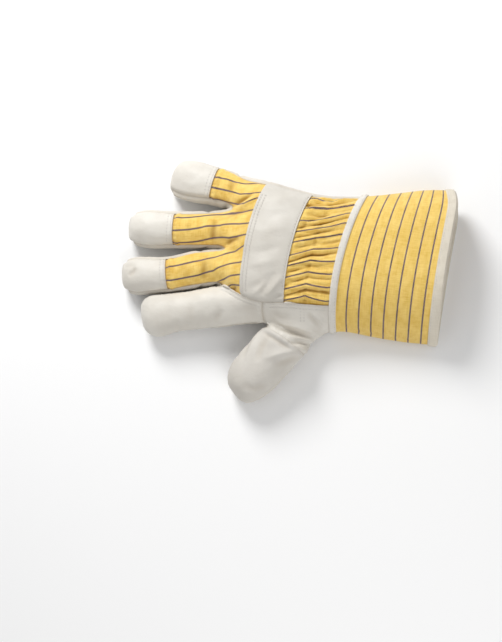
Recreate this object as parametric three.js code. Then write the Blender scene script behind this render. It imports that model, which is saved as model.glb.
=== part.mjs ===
// A leather and striped cotton work glove for the right hand, lying palm down, in millimetres.
// The fingers point along -X and the cuff along +X, the little finger lies toward +Y, and the back
// of the hand faces +Z. One skin is worked out from short tables of sections, smoothed once, and cut
// along the sewing lines into panels, each of which becomes a closed sheet of leather or cloth.

import * as THREE from 'three';

// Driving sizes
const handLength = 94;
const handWidth = 117;
const handHeight = 44;
const wristWidth = 109;
const wristHeight = 42;
const cuffLength = 80;
const cuffWidth = 124;
const cuffHeight = 46;
const thumbLength = 65;
const thumbWidth = 41;
const thumbHeight = 30;
const leatherThickness = 1.4;
const cottonThickness = 1.1;
const canvasThickness = 1.8;
const weltThickness = 1.1;
const weltWidth = 5.4;
const bindingThickness = 1.0;
const bindingWidth = 6.5;
const gatherDepth = 1.2;

// Clearances: across a sewn seam, and between a piece and the one that it is sewn on to
const seamGap = 0.3;
const layGap = 0.3;

// Directions in plan: how far each ring of the body leans, as a rise along X for each unit of Y
const wristLean = 0.27;
const rootLean = 0.17;
const cuffLean = 0.19;
const thumbAngle = THREE.MathUtils.degToRad(223.5);

// The skin of the palm lies this far above the floor, so that the patch below it rests on the floor
const restHeight = leatherThickness + layGap;

// Sections of the cuff, from its mouth to the wrist.
// along: share of cuffLength from the wrist; side: drift of the middle toward the little finger as a
// share of cuffWidth; width: share of the width between wrist and mouth; bow: how far the middle runs
// ahead toward the fingers, as a share of the width; tuck: how far the little finger's fold stands
// back, as a share of cuffLength; settle: 1 where the underside comes down so far that the binding
// rests on the floor; indexEdge, littleEdge: height of the two side folds as shares of the height;
// indexRound, littleRound: 1 for a sharp fold, 2 for a round one.
const cuffSections = [
  { along: 1.00, side: -0.050, width: 1.00, bow: 0.010, tuck: 0.035, settle: 1,
    indexEdge: 0.12, littleEdge: 0.46, indexRound: 1.15, littleRound: 2.1 },
  { along: 0.66, side: -0.026, width: 1.045, bow: 0.022, tuck: 0.00, settle: 1,
    indexEdge: 0.13, littleEdge: 0.46, indexRound: 1.20, littleRound: 2.1 },
  { along: 0.30, side: -0.014, width: 1.015, bow: 0.036, tuck: 0.00, settle: 0.4,
    indexEdge: 0.17, littleEdge: 0.46, indexRound: 1.35, littleRound: 2.0 },
];

// Sections of the hand, from the wrist to the finger roots.
// along: share of handLength; hand: 0 follows the wrist's width and height, 1 the hand's; width,
// height: shares of those; web: how far the thumb's web draws out the side fold, as a share of the
// half width; cottonFrom: where the cotton back meets the leather beside it, from -1 at the thumb's
// side to 1 at the little finger's.
const handSections = [
  { along: 0.00, side: 0.005, hand: 0.0, width: 1.00, height: 1.00, bow: 0.049, web: 0.00,
    indexEdge: 0.22, littleEdge: 0.46, indexRound: 1.5, littleRound: 2.0, cottonFrom: -0.71 },
  { along: 0.22, side: -0.004, hand: 0.3, width: 1.00, height: 0.99, bow: 0.049, web: 0.14,
    indexEdge: 0.28, littleEdge: 0.45, indexRound: 1.6, littleRound: 1.9, cottonFrom: -0.67 },
  { along: 0.415, side: 0.018, hand: 0.6, width: 0.98, height: 1.04, bow: 0.049, web: 0.06,
    indexEdge: 0.36, littleEdge: 0.44, indexRound: 1.7, littleRound: 1.8, cottonFrom: -0.68 },
  { along: 0.605, side: 0.063, hand: 0.8, width: 0.985, height: 1.03, bow: 0.052, web: 0.00,
    indexEdge: 0.38, littleEdge: 0.42, indexRound: 1.8, littleRound: 1.8, cottonFrom: -0.78 },
  { along: 0.79, side: 0.100, hand: 1.0, width: 1.00, height: 0.97, bow: 0.055, web: 0.00,
    indexEdge: 0.40, littleEdge: 0.42, indexRound: 1.8, littleRound: 1.8, cottonFrom: -0.72 },
  { along: 1.00, side: 0.118, hand: 1.0, width: 1.065, height: 0.80, bow: 0.045, web: 0.00,
    indexEdge: 0.45, littleEdge: 0.45, indexRound: 2.0, littleRound: 2.0, cottonFrom: -0.465 },
];

// Fingers from the thumb's side to the little finger.
// from, to: the stretch of the root section, -1 to 1; setBack: how far the crotch on the side of the
// little finger stands back, as a share of crotchSetBack; angle in degrees turns the finger toward
// the thumb's side, and roll turns its back that way; sections: along as a share of the length,
// drift toward the little finger, width and height as shares of the finger's own.
const fingers = [
  { name: 'index', length: 68, width: 31, height: 27, angle: 6.5, roll: 8,
    from: -1, to: -0.465, setBack: 1, sections: [
      { along: 0.32, drift: -0.05, width: 0.98, height: 1.00 },
      { along: 0.62, drift: -0.03, width: 0.99, height: 0.97 },
      { along: 0.85, drift: 0.00, width: 1.10, height: 0.96 },
      { along: 0.97, drift: 0.02, width: 0.74, height: 0.72 },
    ] },
  { name: 'middle', length: 88, width: 30, height: 27, angle: 3, roll: 4,
    from: -0.465, to: -0.01, setBack: 1, sections: [
      { along: 0.27, drift: 0.04, width: 1.06, height: 1.02 },
      { along: 0.53, drift: -0.09, width: 0.92, height: 0.96 },
      { along: 0.88, drift: 0.00, width: 1.07, height: 0.98 },
      { along: 0.98, drift: 0.04, width: 0.74, height: 0.72 },
    ] },
  { name: 'ring', length: 86, width: 30, height: 27, angle: -4, roll: 14,
    from: -0.01, to: 0.54, setBack: 0, sections: [
      { along: 0.27, drift: 0.00, width: 1.02, height: 1.02 },
      { along: 0.54, drift: -0.03, width: 0.96, height: 0.96 },
      { along: 0.87, drift: 0.00, width: 1.02, height: 0.98 },
      { along: 0.98, drift: 0.02, width: 0.72, height: 0.72 },
    ] },
  { name: 'little', length: 61, width: 31, height: 26, angle: -17, roll: -12,
    from: 0.54, to: 1, setBack: 0, sections: [
      { along: 0.14, drift: 0.02, width: 1.00, height: 1.02 },
      { along: 0.34, drift: 0.03, width: 1.01, height: 1.00 },
      { along: 0.78, drift: 0.04, width: 1.16, height: 1.00 },
      { along: 0.96, drift: 0.02, width: 0.82, height: 0.72 },
    ] },
];

// Sections of the thumb, from its base seam to the tip; turn in degrees skews the section in plan
const thumbSections = [
  { along: 0.02, drift: 0.00, width: 1.03, height: 1.12, turn: 10 },
  { along: 0.28, drift: -0.03, width: 0.97, height: 1.04, turn: 2 },
  { along: 0.56, drift: 0.00, width: 1.00, height: 1.00, turn: 0 },
  { along: 0.82, drift: 0.00, width: 0.88, height: 0.94, turn: -2 },
  { along: 0.95, drift: 0.00, width: 0.58, height: 0.68, turn: -4 },
];

// Lanes: the body's ring has three across each finger, a side point at each fold and as many below
const lanesPerFinger = 3;
const laneCount = lanesPerFinger * fingers.length;
const littleSide = laneCount + 1;
const ringSize = 2 * (laneCount + 1) + 2;
const indexSide = ringSize - 1;
const firstCottonLane = lanesPerFinger;

// Place in the ring of the point that lies below a lane of the back
const belowLane = (lane) => ringSize - 2 - lane;

// The outermost row of each face lies this far out, from -1 to 1, next to the fold. The rows of the
// side leather crowd toward the fold by this power.
const outerLane = 0.93;
const sideLane = 0.97;
const sideCrowding = 1.6;
const foldReach = 1.02;
const webStart = 0.6;
const tuckStart = 0.7;

// Powers that round the back down to the folds and lift the palm next to them; the lift starts
// where its power reaches foldStart and ends at this share of the fold's height
const profileWidth = 2.6;
const foldWidth = 8;
const foldStart = 0.1;
const foldLift = 0.8;

// The thumb leaves the body between these sections of the hand, and takes this many lanes below
const thumbFrom = 1;
const thumbTo = 3;
const thumbLanesBelow = 2;

// The strap, patch and gathers lie between these sections of the hand
const strapFrom = 2;
const strapTo = 4;
const patchFrom = 1;
const patchTo = 5;
const gatherSection = 1;

// How far the crotches dip below the backs of the fingers, rise above the palm and lie above the
// floor, as shares of the height at the finger roots, and how far they stand back
const crotchDip = 0.30;
const crotchLift = 0.10;
const crotchHeight = 0.42;
const crotchSetBack = 4;

// The stretch of a finger or the thumb over which its underside comes down to the floor
const settleFrom = 0.33;
const settleTo = 0.85;

// Smoothing draws a ring in toward its middle, so each finger's ring is drawn this much larger
const fingerSpread = 1.07;
const thumbSpread = 1.05;

const lerp = THREE.MathUtils.lerp;

// Points of the cage, each with its place and how much it is gathered
const cage = { points: [], faces: [] };

function addPoint(x, y, z, gather = 0, lane = 0) {
  cage.points.push([x, y, z, gather, lane]);
  return cage.points.length - 1;
}

function addFace(corners, panel, cover = null) {
  cage.faces.push({ corners, panel, cover });
}

// Places of the body's sections in plan, from the cuff's mouth to the finger roots
function bodySections() {
  const rows = cuffSections.map((row) => ({
    ...row,
    x: row.along * cuffLength,
    y: row.side * cuffWidth,
    half: row.width * lerp(wristWidth, cuffWidth, row.along) / 2,
    height: lerp(wristHeight, cuffHeight, row.along),
    lean: lerp(wristLean, cuffLean, row.along),
    floor: lerp(restHeight, layGap + bindingThickness, row.settle),
    web: 0,
    cottonFrom: handSections[0].cottonFrom,
  }));
  for (const row of handSections) {
    rows.push({
      ...row,
      x: -row.along * handLength,
      y: row.side * handWidth,
      half: row.width * lerp(wristWidth, handWidth, row.hand) / 2,
      height: row.height * lerp(wristHeight, handHeight, row.hand),
      lean: lerp(wristLean, rootLean, row.along),
      floor: restHeight,
      tuck: 0,
    });
  }
  return rows;
}

// Place in plan of the share t, from -1 at the thumb's side to 1 at the little finger's
function acrossSection(row, t) {
  const reach = row.half / Math.hypot(1, row.lean);
  const bow = row.bow * 2 * row.half * (1 - t * t);
  const web = row.web * Math.pow(Math.max(0, -t - webStart) / (1 - webStart), 2);
  const tuck = row.tuck * cuffLength * Math.pow(Math.max(0, t - tuckStart) / (1 - tuckStart), 2);
  const out = reach * (t - web);
  return [row.x + row.lean * out - bow - tuck, row.y + out];
}

// Height of the upper face at t: flat across the middle, rounded down to the side folds
function upperHeight(row, t) {
  const edge = t < 0 ? row.indexEdge : row.littleEdge;
  const round = t < 0 ? row.indexRound : row.littleRound;
  const rise = Math.pow(1 - Math.pow(Math.abs(t), profileWidth), 1 / round);
  return row.floor + row.height * (edge + (1 - edge) * rise);
}

// Height of the lower face at t: on the floor, lifted only next to the side folds
function lowerHeight(row, t) {
  const edge = t < 0 ? row.indexEdge : row.littleEdge;
  return row.floor + row.height * edge * foldLift * Math.max(0, Math.pow(Math.abs(t), foldWidth) - foldStart);
}

// Shares at which the lanes of a section lie; the root section follows the fingers
function laneShares(row, isRoot) {
  const shares = [];
  for (let lane = 0; lane <= laneCount; lane += 1) {
    const finger = fingers[Math.min(Math.floor(lane / lanesPerFinger), fingers.length - 1)];
    const within = (lane - fingers.indexOf(finger) * lanesPerFinger) / lanesPerFinger;
    if (isRoot) {
      shares.push(lerp(Math.max(finger.from, -outerLane), Math.min(finger.to, outerLane), within));
    } else if (lane <= firstCottonLane) {
      const share = Math.pow(lane / firstCottonLane, sideCrowding);
      shares.push(lerp(-sideLane, row.cottonFrom, share));
    } else {
      const share = (lane - firstCottonLane) / (laneCount - firstCottonLane);
      shares.push(lerp(row.cottonFrom, outerLane, share));
    }
  }
  return shares;
}

// One ring of the body, over the back to the little finger's side and back below
function bodyRing(row, { isRoot = false, gather = 0 } = {}) {
  const shares = laneShares(row, isRoot);
  const isCrotch = (lane) => isRoot && lane > 0 && lane < laneCount && lane % lanesPerFinger === 0;
  const setBack = (lane) => (isCrotch(lane) ? fingers[lane / lanesPerFinger - 1].setBack * crotchSetBack : 0);
  const upper = shares.map((t, lane) => {
    const [x, y] = acrossSection(row, t);
    const dip = isCrotch(lane) ? crotchDip * row.height : 0;
    const isCotton = lane > firstCottonLane && lane < laneCount;
    return addPoint(x + setBack(lane), y, upperHeight(row, t) - dip, isCotton ? gather : 0, lane);
  });
  const lower = shares.map((t, lane) => {
    const [x, y] = acrossSection(row, t);
    const lift = isCrotch(lane) ? crotchLift * row.height : 0;
    return addPoint(x + setBack(lane), y, lowerHeight(row, t) + lift);
  });
  const [littleX, littleY] = acrossSection(row, foldReach);
  const [indexX, indexY] = acrossSection(row, -foldReach);
  const little = addPoint(littleX, littleY, row.floor + row.littleEdge * row.height);
  const index = addPoint(indexX, indexY, row.floor + row.indexEdge * row.height);
  return [...upper, little, ...lower.reverse(), index];
}

// Panel of a quad of the body between two rings, by the ring's lane. The back of the index finger
// runs on over the hand as far as the thumb.
function bodyPanel(section, lane) {
  if (section < 0) return 'cuff';
  if (lane < firstCottonLane || lane === indexSide) return section < thumbTo ? 'side_panel' : 'index_back';
  if (lane < laneCount) return 'back_cotton';
  return 'palm_leather';
}

// Quads that the thumb's opening leaves out: both folds of the thumb's side and the lanes below
function isThumbHole(section, lane) {
  const isBetween = section >= thumbFrom && section < thumbTo;
  return isBetween && lane >= belowLane(thumbLanesBelow);
}

// Piece that is sewn over a quad of the body, if any
function bodyCover(section, lane) {
  const isCotton = lane >= firstCottonLane && lane < laneCount;
  if (isCotton && section >= strapFrom && section < strapTo) return 'knuckle_strap';
  const isPalm = lane > littleSide + 1 && lane < belowLane(thumbLanesBelow);
  if (isPalm && section >= patchFrom && section < patchTo) return 'palm_patch';
  return null;
}

function joinRings(ring, next, panelOf, coverOf = () => null) {
  for (let i = 0; i < ring.length; i += 1) {
    const j = (i + 1) % ring.length;
    const panel = panelOf(i);
    if (panel) addFace([ring[i], ring[j], next[j], next[i]], panel, coverOf(i));
  }
}

function buildBody() {
  const rows = bodySections();
  const rings = rows.map((row, i) => {
    const section = i - cuffSections.length;
    return bodyRing(row, {
      isRoot: section === handSections.length - 1,
      gather: section === gatherSection ? 1 : 0,
    });
  });
  for (let i = 0; i < rings.length - 1; i += 1) {
    const section = i - cuffSections.length;
    joinRings(
      rings[i],
      rings[i + 1],
      (lane) => (isThumbHole(section, lane) ? null : bodyPanel(section, lane)),
      (lane) => bodyCover(section, lane),
    );
  }
  return { rows, hand: rings.slice(cuffSections.length), root: rings[rings.length - 1] };
}

// Lowest point of a finger or the thumb: level with the palm at its root, on the floor at its tip
function digitFloor(along) {
  return restHeight * (1 - THREE.MathUtils.smoothstep(along, settleFrom, settleTo));
}

// A closed ring of a finger: three lanes above, a point at each side and three lanes below. The
// points whose sine is under flatBelow lie flat on the floor.
const fingerAngles = [145, 108, 72, 35, 0, -35, -72, -108, -145, 180];
const flatBelow = -0.9;

// Quads of a finger's ring that lie between its back and its two side points
const farUpperSide = lanesPerFinger;
const nearUpperSide = 2 * lanesPerFinger + 3;

function fingerRing({ centre, side, halfWidth, halfHeight, roll, floor }) {
  return fingerAngles.map((degrees) => {
    const angle = THREE.MathUtils.degToRad(degrees);
    const turned = THREE.MathUtils.degToRad(degrees + roll);
    const across = Math.cos(turned) * halfWidth * fingerSpread;
    const up = Math.sin(turned) * halfHeight * fingerSpread;
    const isBelow = Math.sin(angle) < flatBelow;
    const z = isBelow ? floor : Math.max(floor, floor + halfHeight + up);
    return addPoint(centre.x + side.x * across, centre.y + side.y * across, z);
  });
}

// Panels of a finger's quads; the back of the index is one leather piece, the others have a cotton
// back with a leather cap at the tip
function fingerPanel(finger, lane, section) {
  const isBack = lane < lanesPerFinger;
  if (finger.name === 'index') {
    const isUpperSide = lane === farUpperSide || lane === nearUpperSide;
    return isBack || isUpperSide ? 'index_back' : 'palm_leather';
  }
  if (!isBack) return 'palm_leather';
  return section < 2 ? 'back_cotton' : `${finger.name}_tip`;
}

// Closes a tip with two rows of quads, which meet at the seam round the tip. The ring holds the
// points of the back, the far side point, the points below and the near side point.
function closeTip(ring, reach, backLanes, panelOf) {
  const nearSide = ring.length - 1;
  const near = cage.points[ring[nearSide]];
  const far = cage.points[ring[backLanes + 1]];
  const seam = [ring[nearSide]];
  for (let i = 1; i < backLanes; i += 1) {
    const share = i / backLanes;
    const [x, y, z] = near.map((value, axis) => lerp(value, far[axis], share));
    seam.push(addPoint(x + reach.x, y + reach.y, z));
  }
  seam.push(ring[backLanes + 1]);
  for (let i = 0; i < backLanes; i += 1) {
    const below = nearSide - 1 - i;
    addFace([ring[i], ring[i + 1], seam[i + 1], seam[i]], panelOf(true));
    addFace([seam[i], seam[i + 1], ring[below - 1], ring[below]], panelOf(false));
  }
}

function buildFinger(finger, index, row, root, crotches) {
  const first = index * lanesPerFinger;
  const last = first + lanesPerFinger;
  const loop = [];
  for (let lane = first; lane <= last; lane += 1) loop.push(root[lane]);
  loop.push(crotches[index + 1]);
  for (let lane = last; lane >= first; lane -= 1) loop.push(root[belowLane(lane)]);
  loop.push(crotches[index]);

  const [x, y] = acrossSection(row, (finger.from + finger.to) / 2);
  const angle = THREE.MathUtils.degToRad(180 + finger.angle);
  const along = { x: Math.cos(angle), y: Math.sin(angle) };
  const side = { x: along.y, y: -along.x };
  let ring = loop;
  finger.sections.forEach((section, i) => {
    const distance = section.along * finger.length;
    const drift = section.drift * finger.width;
    const next = fingerRing({
      centre: {
        x: x + along.x * distance + side.x * drift,
        y: y + along.y * distance + side.y * drift,
      },
      side,
      halfWidth: section.width * finger.width / 2,
      halfHeight: section.height * finger.height / 2,
      roll: finger.roll,
      floor: digitFloor(section.along),
    });
    joinRings(ring, next, (lane) => fingerPanel(finger, lane, i));
    ring = next;
  });
  const rest = finger.length * (1 - finger.sections[finger.sections.length - 1].along);
  const reach = { x: along.x * rest, y: along.y * rest };
  closeTip(ring, reach, lanesPerFinger, (isBack) => (
    fingerPanel(finger, isBack ? 0 : lanesPerFinger + 1, finger.sections.length)
  ));
}

function buildFingers({ rows, root }) {
  const row = rows[rows.length - 1];
  const crotches = [root[indexSide]];
  for (const finger of fingers.slice(0, -1)) {
    const [x, y] = acrossSection(row, finger.to);
    const z = row.floor + row.height * crotchHeight;
    crotches.push(addPoint(x + finger.setBack * crotchSetBack, y, z));
  }
  crotches.push(root[littleSide]);
  fingers.forEach((finger, i) => buildFinger(finger, i, row, root, crotches));
}

// The thumb's ring: twelve points, the seam running through its two side points
const thumbAngles = [60, 90, 120, 150, 180, 210, 240, 270, 300, 330, 0, 30];
const thumbInnerSide = 4;
const thumbOuterSide = 10;
const thumbBackLanes = 4;

// The thumb's middle stands off its root by this share of its width, and its ring is sunk so that
// its underside is flattened
const thumbOffset = 0.16;
const thumbFlatten = 0.97;

function thumbPanel(lane, isBase) {
  const isBack = lane < thumbInnerSide || lane >= thumbOuterSide;
  if (isBack) return isBase ? 'side_panel' : 'thumb_outer';
  return 'thumb_inner';
}

function buildThumb({ rows, hand }) {
  const lower = [];
  for (let lane = 0; lane < thumbLanesBelow; lane += 1) lower.push(belowLane(lane));
  const loop = [];
  for (let i = thumbFrom; i <= thumbTo; i += 1) loop.push(hand[i][0]);
  for (const lane of [indexSide, ...lower]) loop.push(hand[thumbTo][lane]);
  for (let i = thumbTo; i >= thumbFrom; i -= 1) loop.push(hand[i][belowLane(thumbLanesBelow)]);
  for (const lane of [...lower.reverse(), indexSide]) loop.push(hand[thumbFrom][lane]);

  const middleRow = rows[cuffSections.length + (thumbFrom + thumbTo) / 2];
  const [rootX, rootY] = acrossSection(middleRow, -1);
  const along = { x: Math.cos(thumbAngle), y: Math.sin(thumbAngle) };
  const side = { x: -along.y, y: along.x };
  let ring = loop;
  for (const section of thumbSections) {
    const distance = section.along * thumbLength;
    const drift = (section.drift + thumbOffset) * thumbWidth;
    const turn = THREE.MathUtils.degToRad(section.turn);
    const across = {
      x: side.x * Math.cos(turn) - side.y * Math.sin(turn),
      y: side.x * Math.sin(turn) + side.y * Math.cos(turn),
    };
    const halfWidth = section.width * thumbWidth / 2 * thumbSpread;
    const halfHeight = section.height * thumbHeight / 2 * thumbSpread;
    const floor = digitFloor(section.along);
    const next = thumbAngles.map((degrees) => {
      const angle = THREE.MathUtils.degToRad(degrees);
      const out = Math.cos(angle) * halfWidth;
      const z = Math.max(floor, floor + halfHeight * (thumbFlatten + Math.sin(angle)));
      return addPoint(
        rootX + along.x * distance + side.x * drift + across.x * out,
        rootY + along.y * distance + side.y * drift + across.y * out,
        z,
      );
    });
    const isBase = section === thumbSections[0];
    joinRings(ring, next, (lane) => thumbPanel(lane, isBase));
    ring = next;
  }
  const rest = thumbLength * (1 - thumbSections[thumbSections.length - 1].along);
  const reach = { x: along.x * rest, y: along.y * rest };
  const turned = [...ring.slice(thumbOuterSide + 1), ...ring.slice(0, thumbOuterSide + 1)];
  closeTip(turned, reach, thumbBackLanes, (isBack) => (isBack ? 'thumb_outer' : 'thumb_inner'));
}

// One step of Catmull-Clark smoothing; each new quad keeps the panel of the quad that it comes from

const edgeKey = (a, b) => (a < b ? `${a},${b}` : `${b},${a}`);

function average(list) {
  const sum = list[0].map(() => 0);
  for (const item of list) item.forEach((value, i) => { sum[i] += value; });
  return sum.map((value) => value / list.length);
}

function smooth({ points, faces }) {
  const facePoints = faces.map(({ corners }) => average(corners.map((i) => points[i])));
  const edges = new Map();
  const around = points.map(() => ({ faces: [], edges: [] }));
  faces.forEach(({ corners }, f) => {
    corners.forEach((a, i) => {
      const b = corners[(i + 1) % corners.length];
      const key = edgeKey(a, b);
      if (!edges.has(key)) {
        edges.set(key, { ends: [a, b], faces: [] });
        around[a].edges.push(key);
        around[b].edges.push(key);
      }
      edges.get(key).faces.push(f);
      around[a].faces.push(f);
    });
  });

  for (const edge of edges.values()) {
    edge.middle = average(edge.ends.map((i) => points[i]));
    edge.isBorder = edge.faces.length === 1;
  }
  const moved = points.map((point, i) => {
    const own = around[i].edges.map((key) => edges.get(key));
    const isInOpening = own.length === 0;
    if (isInOpening) return point;
    const borders = own.filter((edge) => edge.isBorder);
    if (borders.length > 0) {
      const ends = average(borders.map((edge) => edge.middle));
      return point.map((value, axis) => (value + ends[axis]) / 2);
    }
    const count = own.length;
    const q = average(around[i].faces.map((f) => facePoints[f]));
    const r = average(own.map((edge) => edge.middle));
    return point.map((value, axis) => (q[axis] + 2 * r[axis] + (count - 3) * value) / count);
  });
  const next = [...moved];
  for (const edge of edges.values()) {
    edge.index = next.length;
    const parts = edge.isBorder
      ? [edge.middle]
      : [edge.middle, edge.middle, ...edge.faces.map((f) => facePoints[f])];
    next.push(average(parts));
  }
  const quads = [];
  faces.forEach(({ corners, panel, cover }, f) => {
    const centre = next.length;
    next.push(facePoints[f]);
    const edgeIndex = (a, b) => edges.get(edgeKey(a, b)).index;
    corners.forEach((corner, i) => {
      const after = corners[(i + 1) % corners.length];
      const before = corners[(i + corners.length - 1) % corners.length];
      const quad = [corner, edgeIndex(corner, after), centre, edgeIndex(before, corner)];
      quads.push({ corners: quad, panel, cover });
    });
  });
  return { points: next, faces: quads };
}

// The skin: smoothed cage, gathered folds and a normal at each point

function quadNormal(points, [a, b, c, d]) {
  const first = new THREE.Vector3().subVectors(points[c], points[a]);
  const second = new THREE.Vector3().subVectors(points[d], points[b]);
  return first.cross(second);
}

function makeSkin() {
  const { points, faces } = smooth(cage);
  const places = points.map(([x, y, z, gather, lane]) => {
    const fold = gather * gatherDepth * Math.cos(2 * Math.PI * lane);
    return new THREE.Vector3(x, y, Math.max(0, z + fold));
  });
  const normals = places.map(() => new THREE.Vector3());
  for (const { corners } of faces) {
    const normal = quadNormal(places, corners);
    for (const corner of corners) normals[corner].add(normal);
  }
  normals.forEach((normal) => normal.normalize());
  return { places, normals, faces };
}

// Sheets: a set of the skin's quads as a closed solid, trimmed back from its border

function borderEdges(faces) {
  const count = new Map();
  for (const { corners } of faces) {
    corners.forEach((a, i) => {
      const key = edgeKey(a, corners[(i + 1) % corners.length]);
      count.set(key, (count.get(key) ?? 0) + 1);
    });
  }
  const edges = [];
  for (const { corners } of faces) {
    corners.forEach((a, i) => {
      const b = corners[(i + 1) % corners.length];
      if (count.get(edgeKey(a, b)) === 1) edges.push([a, b]);
    });
  }
  return edges;
}

// At a hairpin corner of a panel the trim is limited as if it were this open
const sharpestCorner = 0.12;

// Trimmed places: each border point moves inward, square to both of its border edges
function trimmedPlaces({ places, normals }, edges, trim) {
  const inward = new Map();
  for (const [a, b] of edges) {
    const edge = new THREE.Vector3().subVectors(places[b], places[a]);
    for (const point of [a, b]) {
      const direction = new THREE.Vector3().crossVectors(normals[point], edge).normalize();
      inward.set(point, [...(inward.get(point) ?? []), direction]);
    }
  }
  const moved = new Map();
  for (const [point, directions] of inward) {
    const sum = directions.reduce((total, one) => total.add(one), new THREE.Vector3());
    const spread = 1 + directions[0].dot(directions[1]);
    sum.multiplyScalar(trim / Math.max(spread, sharpestCorner));
    moved.set(point, places[point].clone().add(sum));
  }
  return moved;
}

function solidFrom(vertices, triangles) {
  const geometry = new THREE.BufferGeometry();
  const flat = vertices.flatMap((vertex) => vertex.toArray());
  geometry.setAttribute('position', new THREE.Float32BufferAttribute(flat, 3));
  geometry.setIndex(triangles);
  geometry.computeVertexNormals();
  return geometry;
}

function sheet(skin, faces, { outer = 0, thickness, trim = seamGap / 2 }) {
  const edges = borderEdges(faces);
  const moved = trimmedPlaces(skin, edges, trim);
  const index = new Map();
  const vertices = [];
  const layer = (point) => {
    if (!index.has(point)) {
      index.set(point, vertices.length);
      const place = moved.get(point) ?? skin.places[point];
      const normal = skin.normals[point];
      vertices.push(place.clone().addScaledVector(normal, outer));
      vertices.push(place.clone().addScaledVector(normal, outer - thickness));
    }
    return index.get(point);
  };
  const triangles = [];
  for (const { corners } of faces) {
    const [a, b, c, d] = corners.map(layer);
    triangles.push(a, b, c, a, c, d);
    triangles.push(a + 1, c + 1, b + 1, a + 1, d + 1, c + 1);
  }
  // The walls of two panels that meet at a seam are split along the same diagonal
  for (const [a, b] of edges) {
    const from = layer(a);
    const to = layer(b);
    if (a < b) triangles.push(from, from + 1, to + 1, from, to + 1, to);
    else triangles.push(from, from + 1, to, from + 1, to + 1, to);
  }
  return solidFrom(vertices, triangles);
}

// Closed loops of a set of border edges, each a list of points in order
function loopsOf(edges) {
  const after = new Map(edges);
  const loops = [];
  while (after.size > 0) {
    const loop = [];
    for (let point = after.keys().next().value; after.has(point);) {
      loop.push(point);
      const next = after.get(point);
      after.delete(point);
      point = next;
    }
    loops.push(loop);
  }
  return loops;
}

// The neighbour of each loop point along the quads given
function neighboursOf(loop, faces) {
  const onLoop = new Set(loop);
  const found = new Map();
  for (const { corners } of faces) {
    corners.forEach((a, i) => {
      const b = corners[(i + 1) % corners.length];
      if (onLoop.has(a) && !onLoop.has(b)) found.set(a, b);
      if (onLoop.has(b) && !onLoop.has(a)) found.set(b, a);
    });
  }
  return found;
}

// A band swept round a loop of the skin. Each corner of its section has a distance along the skin,
// toward the first neighbours, or the second ones where it is below zero, and an offset outward.
function band(skin, loop, section, toward, away = toward) {
  const place = (point, { distance, offset }) => {
    const neighbour = (distance < 0 ? away : toward).get(point);
    const step = new THREE.Vector3().subVectors(skin.places[neighbour], skin.places[point]);
    const way = away === toward ? distance : Math.abs(distance);
    const share = way / step.length();
    const normal = skin.normals[point].clone();
    if (share > 0) normal.lerp(skin.normals[neighbour], share).normalize();
    return skin.places[point].clone().addScaledVector(step, share).addScaledVector(normal, offset);
  };
  const vertices = loop.flatMap((point) => section.map((corner) => place(point, corner)));
  const triangles = [];
  const size = section.length;
  loop.forEach((_, i) => {
    const j = (i + 1) % loop.length;
    for (let k = 0; k < size; k += 1) {
      const l = (k + 1) % size;
      const [a, b, c, d] = [i * size + k, j * size + k, j * size + l, i * size + l];
      triangles.push(a, b, c, a, c, d);
    }
  });
  return solidFrom(vertices, triangles);
}

// Build the skin and cut it into its pieces

const body = buildBody();
buildFingers(body);
buildThumb(body);
const skin = makeSkin();
const facesOf = (key, name) => skin.faces.filter((face) => face[key] === name);

const leather = { color: 0xe2ddd3, roughness: 0.78, metalness: 0 };
const paleLeather = { color: 0xe8e4dc, roughness: 0.74, metalness: 0 };
const cotton = { color: 0xdfba66, roughness: 0.95, metalness: 0 };
const canvas = { color: 0xe2bf70, roughness: 0.95, metalness: 0 };
const tape = { color: 0xf0ede6, roughness: 0.9, metalness: 0 };
const binding = { color: 0xd9cfbd, roughness: 0.9, metalness: 0 };

const glove = new THREE.Group();

function addPiece(name, geometry, finish) {
  const mesh = new THREE.Mesh(geometry, new THREE.MeshStandardMaterial(finish));
  mesh.name = name;
  glove.add(mesh);
}

const panels = [
  { name: 'palm_leather', thickness: leatherThickness, finish: leather },
  { name: 'side_panel', thickness: leatherThickness, finish: paleLeather },
  { name: 'index_back', thickness: leatherThickness, finish: paleLeather },
  { name: 'thumb_outer', thickness: leatherThickness, finish: paleLeather },
  { name: 'thumb_inner', thickness: leatherThickness, finish: leather },
  { name: 'middle_tip', thickness: leatherThickness, finish: paleLeather },
  { name: 'ring_tip', thickness: leatherThickness, finish: paleLeather },
  { name: 'little_tip', thickness: leatherThickness, finish: paleLeather },
  { name: 'back_cotton', thickness: cottonThickness, finish: cotton },
  { name: 'cuff', thickness: canvasThickness, finish: canvas },
];
for (const { name, thickness, finish } of panels) {
  addPiece(name, sheet(skin, facesOf('panel', name), { thickness }), finish);
}

const covers = [
  { name: 'knuckle_strap', thickness: leatherThickness, finish: paleLeather },
  { name: 'palm_patch', thickness: leatherThickness, finish: leather },
];
for (const { name, thickness, finish } of covers) {
  const outer = layGap + thickness;
  addPiece(name, sheet(skin, facesOf('cover', name), { outer, thickness }), finish);
}

const cuffFaces = facesOf('panel', 'cuff');
const handFaces = skin.faces.filter(({ panel }) => panel !== 'cuff');
const handPoints = new Set(handFaces.flatMap(({ corners }) => corners));
const cuffLoops = loopsOf(borderEdges(cuffFaces));
const wristLoop = cuffLoops.find((loop) => handPoints.has(loop[0]));
const mouthLoop = cuffLoops.find((loop) => !handPoints.has(loop[0]));

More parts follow.
